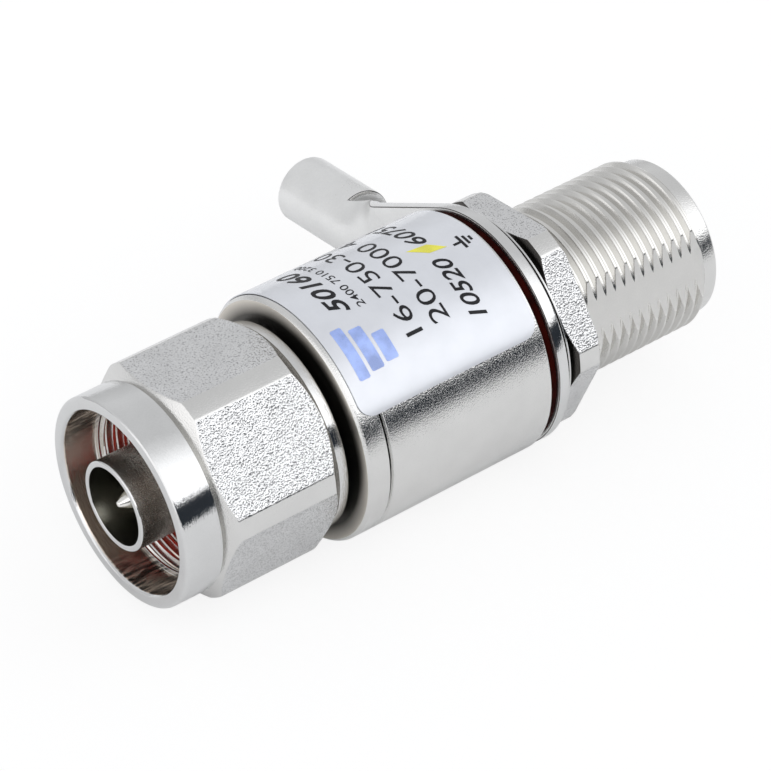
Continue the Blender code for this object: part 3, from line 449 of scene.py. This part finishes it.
def thread(start, turns, radius_of):
    """A right-hand helical skin. radius_of(phase, x) gives its radius."""
    shape = bmesh.new()
    row = chain(shape, [(start + PITCH * phase, THREAD_R) for phase in THREAD_PHASES])
    spin(shape, row, math.tau, THREAD_SIDES, (PITCH / THREAD_SIDES, 0, 0))
    repeat(shape, [Matrix.Translation((PITCH * k, 0, 0)) for k in range(1, turns)])
    for vert in shape.verts:
        angle, x, _ = polar(vert.co)
        set_radius(vert, angle, radius_of(((x - start) / PITCH - angle / math.tau) % 1, x))
    bmesh.ops.remove_doubles(shape, verts=shape.verts, dist=THREAD_MERGE)
    bmesh.ops.recalc_face_normals(shape, faces=shape.faces)
    return shape


def wedge(phase):
    """Height of a 60 degree thread over one pitch: 0 at the root, 1 at the crest."""
    away = abs(phase - 0.5)
    return min(max((THREAD_FOOT - away) / THREAD_FLANK, 0.0), 1.0)


# Body and jack


def make_body():
    # The film starts on the flange, and the seam beside it is a narrow groove in both pieces.
    outline = [
        (SEAM + 0.04, SPIGOT_HOLE_R, 0), (SEAM + 0.04, 10.8, 0.03), (SEAM + 0.2, BODY_R, 0.06),
        (-0.2, BODY_R, 0.05), (0, 10.9, 0.05), (0, BARREL_R, 0), (LEAD_IN - 0.1, BARREL_R, 0),
        (LEAD_IN - 0.02, LEAD_R, 0.05), (JACK_END - 0.22, LEAD_R, 0.05), (JACK_END, LEAD_R - 0.22, 0.06),
        (JACK_END, 4.42, 0.05), (JACK_END - 0.33, JACK_BORE_R, 0.05), (5.85, JACK_BORE_R, 0),
        (5.85, LINE_R, 0), (-11.75, LINE_R, 0), (-11.75, SPIGOT_HOLE_R, 0),
    ]
    shape = lathe(outline, 200)
    # The seam groove's faces get the near-black painted shade.
    mark(shape, lambda x, radius, old: 2 if radius < 4.3 else 1 if x < SEAM + 0.1 else 0)
    piece("body_shell", shape, "arrestor", [SATIN, PAINTED_SHADE_DARK, BORE], "main_body")


def make_jack_thread():
    def radius_of(phase, x):
        r = ROOT_R + (THREAD_R - ROOT_R) * wedge(phase)
        r = min(r, THREAD_R - max(0.0, x - (LEAD_IN - 0.6)) * 1.1)
        if x > LEAD_IN or x < 0.05:
            r = min(r, INSIDE_BARREL_R)
        return r

    shape = thread(0.035 - 2.5 * PITCH, 22, radius_of)
    for turn in (0, math.pi):
        normal = Vector((0, math.cos(FLAT_ANGLE + turn), math.sin(FLAT_ANGLE + turn)))
        whole = shape.verts[:] + shape.edges[:] + shape.faces[:]
        cut = bmesh.ops.bisect_plane(
            shape, geom=whole, plane_co=normal * FLAT_TO_AXIS, plane_no=normal, clear_outer=True, dist=1e-5
        )["geom_cut"]
        rim = [item for item in cut if isinstance(item, bmesh.types.BMEdge) and item.is_boundary]
        filled = bmesh.ops.triangle_fill(shape, use_beauty=True, edges=rim, normal=normal)["geom"]
        for item in filled:
            if isinstance(item, bmesh.types.BMFace):
                item.material_index = 1
                if item.normal.dot(normal) < 0:
                    item.normal_flip()
    piece("jack_thread", shape, "arrestor", [THREAD, MILLED], None, sharp=25)


def make_plug_housing():
    front, face, seam = NECK_FRONT, FLANGE_FRONT, FLANGE_REAR
    seat = SLEEVE_REAR + 0.03
    outline = [
        (front, 4.95, 0), (front, 7.0, 0.05), (front + 0.2, NECK_R, 0.05), (face - 3.75, NECK_R, 0),
        (face - 3.75, 6.6, 0), (face - 2.85, 6.6, 0), (face - 2.85, NECK_R, 0.05), (face, NECK_R, 0.1),
        (face, 10.8, 0.08), (face + 0.3, BODY_R, 0.1), (seam - 0.2, BODY_R, 0.06),
        (seam - 0.04, 10.8, 0.03), (seam - 0.04, SPIGOT_R, 0), (seam + 5.3, SPIGOT_R, 0),
        (seam + 5.3, LINE_R, 0), (SLEEVE_REAR + 3.9, LINE_R, 0), (SLEEVE_REAR + 3.9, 4.45, 0),
        (seat, 4.45, 0), (seat, 4.95, 0),
    ]
    shape = lathe(outline, 200)
    # The flange's front face and neck get the nickel with painted shade; the seam end gets the near-black
    # painted shade.
    mark(shape, lambda x, radius, old: 1 if x < face + 0.03 else 2 if x > seam - 0.1 else 0)
    piece("plug_shell", shape, "arrestor", [SATIN, FLANGE_SHADED_NICKEL, PAINTED_SHADE_DARK], "plug_housing")


def make_plug_inside():
    sleeve = [
        (SLEEVE_FRONT, 3.55, 0.04), (SLEEVE_FRONT, 3.93, 0.04), (SLEEVE_FRONT + 0.1, SLEEVE_R, 0.04),
        (NECK_FRONT, SLEEVE_R, 0), (NECK_FRONT, 4.9, 0), (SLEEVE_REAR, 4.9, 0), (SLEEVE_REAR, LINE_R, 0),
        (SLEEVE_FRONT + 0.05, LINE_R, 0.02),
    ]
    shape = lathe(sleeve, 140)
    mark(shape, lambda x, radius, old: 1 if x < SLEEVE_FRONT + 0.15 else 2 if radius < 3.7 else 0)
    skins = [SLEEVE, POLISHED, CONTACT_BORE]
    piece("plug_sleeve", shape, "arrestor", skins, "plug_outer_contact")
    front, rear = NECK_FRONT - 1.35, NECK_FRONT - 0.05
    ring = [(front, 4.08, 0.1), (front, 7.0, 0.18), (rear, 7.0, 0.18), (rear, 4.08, 0.1)]
    piece("plug_ring", lathe(ring, 140), "arrestor", RED, "plug_gasket")
    tip = SLEEVE_FRONT + 0.45
    bead = SLEEVE_REAR
    rod = [
        (tip, 0.0), (tip, 0.16), (tip + 0.03, 0.22), (tip + 0.08, 0.26), (tip + 1.0, 0.77),
        (tip + 1.1, 0.81), (tip + 1.25, 0.82), (tip + 5.05, 0.82), (tip + 5.4, 1.52), (bead, 1.52),
        (bead, 1.25), (bead + 3.85, 1.25), (bead + 3.85, 0.7), (bead + 6.5, 0.7), (bead + 6.5, 0.0),
    ]
    piece("plug_needle", revolve(rod, 72, closed=False), "arrestor", SILVER, "plug_pin")


def make_coupling_nut():
    front, rear = NUT_FRONT, NUT_REAR
    collar = front + 3.55
    sink = front + 3.25
    thread_end = front + 8.7
    outline = [
        (front, 8.35, 0.06), (front, 9.22, 0.08), (front + 0.2, COLLAR_R, 0.1), (collar, COLLAR_R, 0.05),
        (collar, 8.97, 0), (collar + 0.2, 8.97, 0.04), (collar + 0.402, 9.32, 0),
        (collar + 1.08, NUT_R, 0.1), (rear - 2.08, NUT_R, 0.1), (rear - 1.0, COLLAR_R, 0.06),
        (rear, COLLAR_R, 0.2), (rear, NUT_BORE_R, 0.05), (rear - 1.9, NUT_BORE_R, 0), (rear - 1.9, 8.0, 0),
        (rear - 3.0, 8.0, 0), (rear - 3.0, NUT_BORE_R, 0), (NECK_FRONT, NUT_BORE_R, 0),
        (NECK_FRONT, NUT_MOUTH_R, 0), (thread_end, NUT_MOUTH_R, 0), (thread_end, 7.95, 0),
        (front + 3.5, 7.95, 0), (front + 3.5, 7.72, 0), (sink, 7.72, 0.04), (sink, NUT_MOUTH_R, 0.03),
        (front + 0.25, NUT_MOUTH_R, 0.08),
    ]

    def skin(x, radius, old):
        if radius < 8.1 and x < front + 3.6:
            return 3
        if radius < 8.3 and front + 0.2 < x < rear - 0.1:
            return 2
        return 3 if old == 0 and not collar < x < rear - 1.05 else old

    shape = hex_nut(outline, COUPLING_ROLL)
    mark(shape, skin)
    skins = [SATIN, BLASTED, BORE, POLISHED]
    piece("nut_shell", shape, "coupling_nut", skins, "coupling_nut", sharp=30)

    def radius_of(phase, x):
        if x < sink or x > thread_end - 0.1:
            return NUT_MOUTH_R + 0.05
        r = THREAD_R + 0.02 - (THREAD_R - ROOT_R) * wedge(phase)
        return max(r, NUT_MOUTH_R - (x - sink) * 2.2)

    shape = thread(front + 2.0, 7, radius_of)
    piece("nut_thread", shape, "coupling_nut", THREAD, None, sharp=25)


# Panel stack

TEETH = 14
TOOTH_ROOT_R = 8.09
TOOTH_DEPTH = 1.2


def make_panel_stack():
    gasket = [(0.05, STACK_HOLE_R, 0.1), (0.05, 10.75, 0.2), (0.73, 10.75, 0.2), (0.73, STACK_HOLE_R, 0.1)]
    piece("panel_ring", lathe(gasket, 180), "arrestor", DARK_RED, "panel_gasket")

    def tooth(angle, x, radius):
        if radius > 9:
            return radius
        share = abs((angle / math.tau * TEETH + 0.5) % 1 - 0.5)
        rise = min(max((share - 0.2) / 0.07, 0.0), 1.0)
        return TOOTH_ROOT_R + TOOTH_DEPTH * rise

    front, rear = 1.96, 2.78
    washer = [
        (front, STACK_HOLE_R), (front, 9.95), (2.42, 9.95), (2.46, 10.26), (2.5, 10.3), (2.6, 10.3),
        (2.66, 10.2), (2.66, 9.9), (rear, 9.9), (rear, STACK_HOLE_R),
    ]
    shape = revolve(washer, 336, tooth)
    # The recessed rims get the near-black painted shade.
    mark(shape, lambda x, radius, old: 1 if 9.85 < radius < 10.2 else 0)
    piece("toothed_washer", shape, "lock_washer", [POLISHED, PAINTED_SHADE_DARK], "lock_washer")

    front, rear = 2.83, 5.83
    nut = [
        (front, 8.39, 0.05), (front, 9.38, 0.04), (front + 0.652, 10.51, 0.05), (rear - 0.25, 10.51, 0.06),
        (rear, 10.26, 0.06), (rear, 8.39, 0.05), (rear - 0.4, 7.99, 0.03), (front + 0.4, 7.99, 0.03),
    ]

    # The front chamfer gets the near-black painted shade.
    def skin(x, radius, old):
        return 2 if old == 0 and front + 0.03 < x < front + 0.64 and radius > HEX_FROM_R else old

    shape = hex_nut(nut, PANEL_ROLL)
    mark(shape, skin)
    piece("hexagon_nut", shape, "panel_nut", [SATIN, BLASTED, PAINTED_SHADE_DARK], "panel_nut", sharp=30)


# Earth lug

SHEET = 1.13
LUG_FRONT = 0.78
LUG_HOLE = 8.09
LUG_RING = 11.0
LUG_TAPER = math.radians(23.3)
LUG_REACH = 28.8
LUG_FLAT = 14.0
LUG_CRIMP = 20.5
LUG_BARREL = 3.15
LUG_ANGLE = math.radians(-6.6)
LUG_TONGUE_ROWS = 24
LUG_EAR_COLUMNS = 20
LUG_BARREL_ROWS = 8
LUG_SEAM = 0.1
LUG_EDGE = 0.17
LUG_RIM_TURN = 1.0


def lug_half_width(reach):
    side = LUG_RING / math.cos(LUG_TAPER) - reach * math.tan(LUG_TAPER)
    return max(side, LUG_BARREL)


def lug_curl(reach):
    share = min(max((reach - LUG_FLAT) / (LUG_CRIMP - LUG_FLAT), 0.0), 1.0)
    return share * share * (3 - 2 * share) / (LUG_BARREL - SHEET / 2)


def grow(shape, edges, moved):
    """Extrudes a row of edges, moves its new vertices, and returns the new row."""
    new = bmesh.ops.extrude_edge_only(shape, edges=edges)["geom"]
    verts = {item for item in new if isinstance(item, bmesh.types.BMVert)}
    for vert in verts:
        moved(vert)
    added = [item for item in new if isinstance(item, bmesh.types.BMEdge)]
    return [edge for edge in added if verts.issuperset(edge.verts)]


def lug_ring(shape):
    """The flat ring round the hole, out to where the tongue starts. Returns the row of edges there."""
    corner = math.atan2(lug_half_width(LUG_FLAT), LUG_FLAT)
    tangent = math.pi / 2 - LUG_TAPER
    tongue = [corner * k / 12 for k in range(-12, 13)]
    sides = [corner + (tangent - corner) * k / 8 for k in range(1, 9)]
    back = [tangent + (math.tau - 2 * tangent) * k / 90 for k in range(1, 90)]
    angles = tongue + sides + back + [math.tau - a for a in reversed(sides)]

    def outline_radius(angle):
        angle = min(angle, math.tau - angle)
        if angle >= tangent:
            return LUG_RING
        return min(LUG_RING / math.cos(tangent - angle), LUG_FLAT / max(math.cos(angle), 0.1))

    def halfway(vert):
        angle = polar(vert.co)[0]
        set_radius(vert, angle, (LUG_HOLE + outline_radius(angle)) / 2)

    def to_outline(vert):
        angle = polar(vert.co)[0]
        set_radius(vert, angle, outline_radius(angle))

    bmesh.ops.create_circle(shape, segments=len(angles), radius=LUG_HOLE)
    circle = sorted(shape.verts, key=lambda vert: math.atan2(vert.co.y, vert.co.x) % math.tau)
    for vert, angle in zip(circle, angles):
        vert.co.x = LUG_FRONT
        set_radius(vert, angle, LUG_HOLE)
    rim = grow(shape, grow(shape, shape.edges[:], halfway), to_outline)
    return [edge for edge in rim if all(vert.co.y > LUG_FLAT - 1e-4 for vert in edge.verts)]


def lug_tongue(shape, row):
    """The tongue and the wider blank of the barrel, grown row by row from the ring, still flat."""
    reach = LUG_FLAT
    for k in range(1, LUG_TONGUE_ROWS + 1):
        after = LUG_FLAT + (LUG_CRIMP - LUG_FLAT) * k / LUG_TONGUE_ROWS

        def onward(vert):
            vert.co.y = after
            vert.co.z *= lug_half_width(after) / lug_half_width(reach)

        row = grow(shape, row, onward)
        reach = after
    half_blank = math.pi * (LUG_BARREL - SHEET / 2) - LUG_SEAM
    tips = {vert for edge in row for vert in edge.verts}
    start = max(vert.co.z for vert in tips)
    for side in (-1, 1):
        tip = max(tips, key=lambda vert: side * vert.co.z)
        for k in range(1, LUG_EAR_COLUMNS + 1):
            ear = bmesh.ops.extrude_vert_indiv(shape, verts=[tip])
            tip = ear["verts"][0]
            tip.co.z = side * (start + (half_blank - start) * k / LUG_EAR_COLUMNS)
            row += ear["edges"]

    def along(vert):
        vert.co.y += (LUG_REACH - LUG_CRIMP) / LUG_BARREL_ROWS

    for k in range(LUG_BARREL_ROWS):
        row = grow(shape, row, along)


def lug_thickness(shape):
    """Gives the blank its thickness and rounded rims, with material 1, and 2, a dark line of painted shade,
    on their front slant.
    """
    bmesh.ops.recalc_face_normals(shape, faces=shape.faces)
    thick = bmesh.ops.extrude_face_region(shape, geom=shape.faces[:])["geom"]
    top = [item for item in thick if isinstance(item, bmesh.types.BMVert)]
    bmesh.ops.translate(shape, verts=top, vec=(SHEET, 0, 0))
    bmesh.ops.recalc_face_normals(shape, faces=shape.faces)
    inner = [edge for edge in shape.edges if len(edge.link_faces) == 2]
    rims = [edge for edge in inner if edge.calc_face_angle(0) > LUG_RIM_TURN]
    bmesh.ops.bevel(
        shape, geom=rims, offset=LUG_EDGE, offset_type="OFFSET", segments=3, profile=0.5, affect="EDGES",
        material=-1, clamp_overlap=True,
    )
    bmesh.ops.recalc_face_normals(shape, faces=shape.faces)
    for face in shape.faces:
        if abs(face.normal.x) < 0.9:
            # The front slant of the rims is painted as a dark line of shade.
            face.material_index = 2 if -0.8 < face.normal.x < -0.5 else 1


def roll_lug(shape):
    """Rolls the far end of the blank into its barrel, with the seam towards the jack."""
    for vert in shape.verts:
        curl = lug_curl(vert.co.y)
        if curl > 0:
            bend = 1 / curl
            radius = bend + SHEET / 2 - (vert.co.x - LUG_FRONT)
            angle = vert.co.z * curl
            vert.co.x = LUG_FRONT + bend + SHEET / 2 - radius * math.cos(angle)
            vert.co.z = radius * math.sin(angle)


def make_lug():
    shape = bmesh.new()
    lug_tongue(shape, lug_ring(shape))
    lug_thickness(shape)
    roll_lug(shape)
    bmesh.ops.recalc_face_normals(shape, faces=shape.faces)
    bmesh.ops.rotate(shape, verts=shape.verts, matrix=Matrix.Rotation(LUG_ANGLE, 3, "X"))
    piece("earth_lug", shape, "ground_lug", [TIN, POLISHED, PAINTED_SHADE_DARK], "ground_lug", sharp=40)


# Label

LABEL_LOW = math.radians(148.5)
LABEL_ARC = math.radians(178.5)
LABEL_X0 = FLANGE_FRONT + 0.55
LABEL_X1 = -0.4
LABEL_CORNER = 1.4
LABEL_R = BODY_R + 0.05
LABEL_THICK = 0.09
LABEL_TOP = LABEL_R + LABEL_THICK
LABEL_ROWS = 120
PRINT_R = LABEL_TOP + 0.012
PRINT_STEP = 0.5
PRINT_CUTS = 60


def on_label(x, arc, radius=LABEL_TOP):
    """A place on the label: x along the axis, arc in millimetres up from its lower edge."""
    angle = LABEL_LOW - arc / LABEL_TOP
    return Vector((x, radius * math.cos(angle), radius * math.sin(angle)))


def make_label():
    length = LABEL_ARC * LABEL_TOP
    arcs = [LABEL_CORNER * (1 - math.cos(math.radians(a))) for a in range(0, 91, 9)]
    straight = length - 2 * LABEL_CORNER
    middle = [LABEL_CORNER + straight * k / LABEL_ROWS for k in range(1, LABEL_ROWS)]
    rows = arcs + middle + [length - a for a in reversed(arcs)]
    columns = [(0, 0), (0, 0.07), (0.0012, LABEL_THICK), (0.9988, LABEL_THICK), (1, 0.07), (1, 0)]
    across, along = len(columns) - 1, len(rows) - 1
    shape = bmesh.new()
    bmesh.ops.create_grid(shape, x_segments=across, y_segments=along, size=0.5)
    ends = {0: [], along: []}
    for vert in shape.verts:
        share, lift = columns[round((vert.co.x + 0.5) * across)]
        number = round((vert.co.y + 0.5) * along)
        arc = rows[number]
        near = min(arc, length - arc, LABEL_CORNER)
        inset = LABEL_CORNER - math.sqrt(LABEL_CORNER**2 - (LABEL_CORNER - near) ** 2)
        first, last = LABEL_X0 + inset, LABEL_X1 - inset
        vert.co = on_label(first + (last - first) * share, arc, LABEL_R + lift)
        if number in ends:
            ends[number].append(vert)
    for end in ends.values():
        bmesh.ops.contextual_create(shape, geom=end)
    bmesh.ops.recalc_face_normals(shape, faces=shape.faces)
    piece("label_film", shape, "arrestor", FILM, "label")


def print_on_label(name, shape, material):
    """Lays flat faces, drawn at (x, arc), on the film."""
    bmesh.ops.triangulate(shape, faces=shape.faces)
    for step in range(1, PRINT_CUTS):
        geom = shape.verts[:] + shape.edges[:] + shape.faces[:]
        spot = (0, step * PRINT_STEP, 0)
        bmesh.ops.bisect_plane(shape, geom=geom, plane_co=spot, plane_no=(0, 1, 0), dist=1e-6)
    for vert in shape.verts:
        vert.co = on_label(vert.co.x, vert.co.y, PRINT_R)
    for face in shape.faces:
        face.normal_update()
        middle = face.calc_center_median()
        if face.normal.dot(Vector((0, middle.y, middle.z))) < 0:
            face.normal_flip()
    piece(name, shape, "arrestor", material, None, sharp=60)


def outlines(*lists):
    shape = bmesh.new()
    for outline in lists:
        shape.faces.new([shape.verts.new((x, arc, 0)) for x, arc in outline])
    return shape


def bar(x0, x1, a0, a1, rounding=0.12):
    """A bar with clipped corners."""
    cut = min(rounding, abs(x1 - x0) / 2.2, abs(a1 - a0) / 2.2)
    return [
        (x0 + cut, a0), (x1 - cut, a0), (x1, a0 + cut), (x1, a1 - cut), (x1 - cut, a1), (x0 + cut, a1),
        (x0, a1 - cut), (x0, a0 + cut),
    ]


def figures(rows):
    """Plain figures. Each row is (text, first arc, last arc, foot x, top x, weight, lean)."""
    shape = bmesh.new()
    for text, start, end, foot, top, weight, lean in rows:
        curve = bpy.data.curves.new("figures", "FONT")
        curve.body = text
        curve.offset = weight
        curve.shear = lean
        curve.resolution_u = 4
        curve.fill_mode = "FRONT"
        thing = bpy.data.objects.new("figures", curve)
        bpy.context.collection.objects.link(thing)
        bpy.context.view_layer.update()
        mesh = bpy.data.meshes.new_from_object(thing.evaluated_get(bpy.context.evaluated_depsgraph_get()))
        across = [vert.co.x for vert in mesh.vertices]
        upward = [vert.co.y for vert in mesh.vertices]
        wide = (end - start) / (max(across) - min(across))
        tall = (foot - top) / (max(upward) - min(upward))
        for vert in mesh.vertices:
            x, y = vert.co.x, vert.co.y
            vert.co = (foot - (y - min(upward)) * tall, start + (x - min(across)) * wide, 0)
        shape.from_mesh(mesh)
        bpy.data.objects.remove(thing)
        bpy.data.meshes.remove(mesh)
        bpy.data.curves.remove(curve)
    return shape


def make_print():
    print_on_label("label_figures", figures([
        ("50160", 8.95, 17.6, -14.55, -16.3, 0.022, 0.3),
        ("2400 7510 3200", 8.8, 18.4, -13.16, -13.9, 0.006, 0.0),
        ("16-750-30", 4.55, 18.6, -10.25, -11.9, 0.0, 0.0),
        ("20-7000 4", 4.5, 18.6, -7.45, -9.15, 0.0, 0.0),
        ("10520", 3.45, 9.8, -4.15, -5.75, 0.014, 0.3),
        ("60751", 12.0, 19.2, -4.15, -5.75, 0.014, 0.3),
    ]), INK)
    print_on_label("label_earth_mark", outlines(
        bar(-2.85, -2.0, 10.19, 10.45, 0.02), bar(-2.14, -1.86, 9.5, 11.15, 0.02),
        bar(-1.66, -1.4, 9.78, 10.87, 0.02), bar(-1.22, -0.96, 10.03, 10.6, 0.02),
    ), INK)
    print_on_label("label_blue_bars", outlines(
        bar(-17.7, -16.6, 3.0, 7.9), bar(-16.25, -15.0, 3.3, 7.3), bar(-14.65, -13.4, 3.5, 6.2),
    ), BLUE)
    yellow = [(-6.6, 12.0), (-5.1, 10.7), (-3.4, 10.5), (-4.6, 11.75)]
    print_on_label("label_yellow_bar", outlines(yellow), YELLOW)


make_body()
make_jack_thread()
make_plug_housing()
make_plug_inside()
make_coupling_nut()
make_panel_stack()
make_lug()
make_label()
make_print()

for name, material in {
    "housing_seal": BLACK, "plug_insulator": PTFE, "jack_insulator": PTFE, "centre_conductor": SILVER,
    "jack_socket": SILVER, "jack_bush": SLEEVE, "gas_tube_ceramic": CERAMIC,
    "gas_tube_inner_electrode": SLEEVE, "gas_tube_outer_electrode": SLEEVE, "gas_tube_spring": SPRING,
    "gas_tube_cap": SATIN, "coupling_snap_ring": SPRING,
}.items():
    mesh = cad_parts[name].data
    mesh.materials.clear()
    mesh.materials.append(material)


# Studio

TENT = [
    (0, 0.62), (28, 0.78), (60, 0.72), (90, 0.73), (104, 0.95), (120, 1.4), (132, 1.6), (157, 1.7),
    (160, 0.5), (162, 0.03), (188, 0.03), (194, 0.14), (200, 0.58), (270, 0.70), (360, 0.62),
]
FRONT_BOX = (1.35, 1.35, 1.37, 1.0)
FRONT_BOX_EDGE = (-0.72, -0.88)
BACKDROP = 1.05
TABLE_HALF = 0.26
TABLE_WHITE = 1.03
TABLE_OWN_WHITE = 0.82


def tent_colour(level):
    """The tent is a cool white, and bluer where it is dark."""
    return (level, level * 1.01, level * 1.03) if level > 0.2 else (level, level * 1.2, level * 1.5)


def studio():
    """A light tent round the axis, by angles from +Y over the top, with a soft box before the plug."""
    world = bpy.data.worlds.new("studio")
    bpy.context.scene.world = world
    world.use_nodes = True
    world.node_tree.nodes.clear()
    n = Tree(world.node_tree)
    split = n.add("SeparateXYZ", {0: n.add("TexCoord").outputs["Generated"]})
    angle = n.math("ARCTAN2", split.outputs[2], split.outputs[1])
    share = n.math("FRACT", n.math("MULTIPLY", angle, 1 / math.tau))
    tent = n.ramp(share, [(degrees / 360, tent_colour(level)) for degrees, level in TENT])
    both = n.mix(n.range(split.outputs[0], *FRONT_BOX_EDGE, 0.0, 1.0), tent, FRONT_BOX)
    lit = n.add("Background", {"Color": both})
    seen = n.add("Background", {"Color": (1, 1, 1, 1), "Strength": BACKDROP})
    camera_ray = n.add("LightPath").outputs["Is Camera Ray"]
    mixed = n.add("MixShader", {0: camera_ray, 1: lit.outputs[0], 2: seen.outputs[0]})
    n.add("OutputWorld", {0: mixed.outputs[0]})


def floor():
    """A small white table. The camera sees it mostly as its own white, with only a soft contact shadow."""
    n = Nodes("floor")
    n.surface(Base_Color=(0.9, 0.9, 0.9, 1), Roughness=0.6, Specular_IOR_Level=0.1)
    glow = n.add("Emission", {"Color": (1, 1, 1, 1), "Strength": TABLE_WHITE})
    own_white = n.math("MULTIPLY", n.add("LightPath").outputs["Is Camera Ray"], TABLE_OWN_WHITE)
    mixed = n.add("MixShader", {0: own_white, 1: n.shader.outputs[0], 2: glow.outputs[0]})
    n.feed(n.tree.nodes["Material Output"].inputs["Surface"], mixed.outputs[0])
    shape = bmesh.new()
    bmesh.ops.create_grid(shape, x_segments=1, y_segments=1, size=TABLE_HALF)
    mesh = bpy.data.meshes.new("floor")
    shape.to_mesh(mesh)
    shape.free()
    mesh.materials.append(n.material)
    thing = bpy.data.objects.new("floor", mesh)
    bpy.context.collection.objects.link(thing)


# Camera

PICTURE_PIXELS = 771
FOCAL_PIXELS = 4000
SENSOR = 36


def camera():
    """The camera of the photograph: a long lens, 38 degrees from +Y towards +X and 40 degrees down."""
    right = Vector((0.78854, -0.61498, -0.00328))
    down = Vector((-0.39082, -0.49698, -0.77477))
    ahead = Vector((0.47483, 0.61222, -0.63223))
    shoulder = Vector((7.231, -4.676, 341.685))
    spot = -(right * shoulder.x + down * shoulder.y + ahead * shoulder.z)
    data = bpy.data.cameras.new("camera")
    data.sensor_width = SENSOR
    data.lens = FOCAL_PIXELS * SENSOR / PICTURE_PIXELS
    data.clip_start = 0.01
    data.clip_end = 20
    thing = bpy.data.objects.new("camera", data)
    thing.location = AXIS + spot * MM
    thing.rotation_euler = Matrix((right, -down, -ahead)).transposed().to_euler()
    bpy.context.collection.objects.link(thing)
    bpy.context.scene.camera = thing


studio()
floor()
camera()
bpy.context.scene.view_settings.view_transform = "Standard"
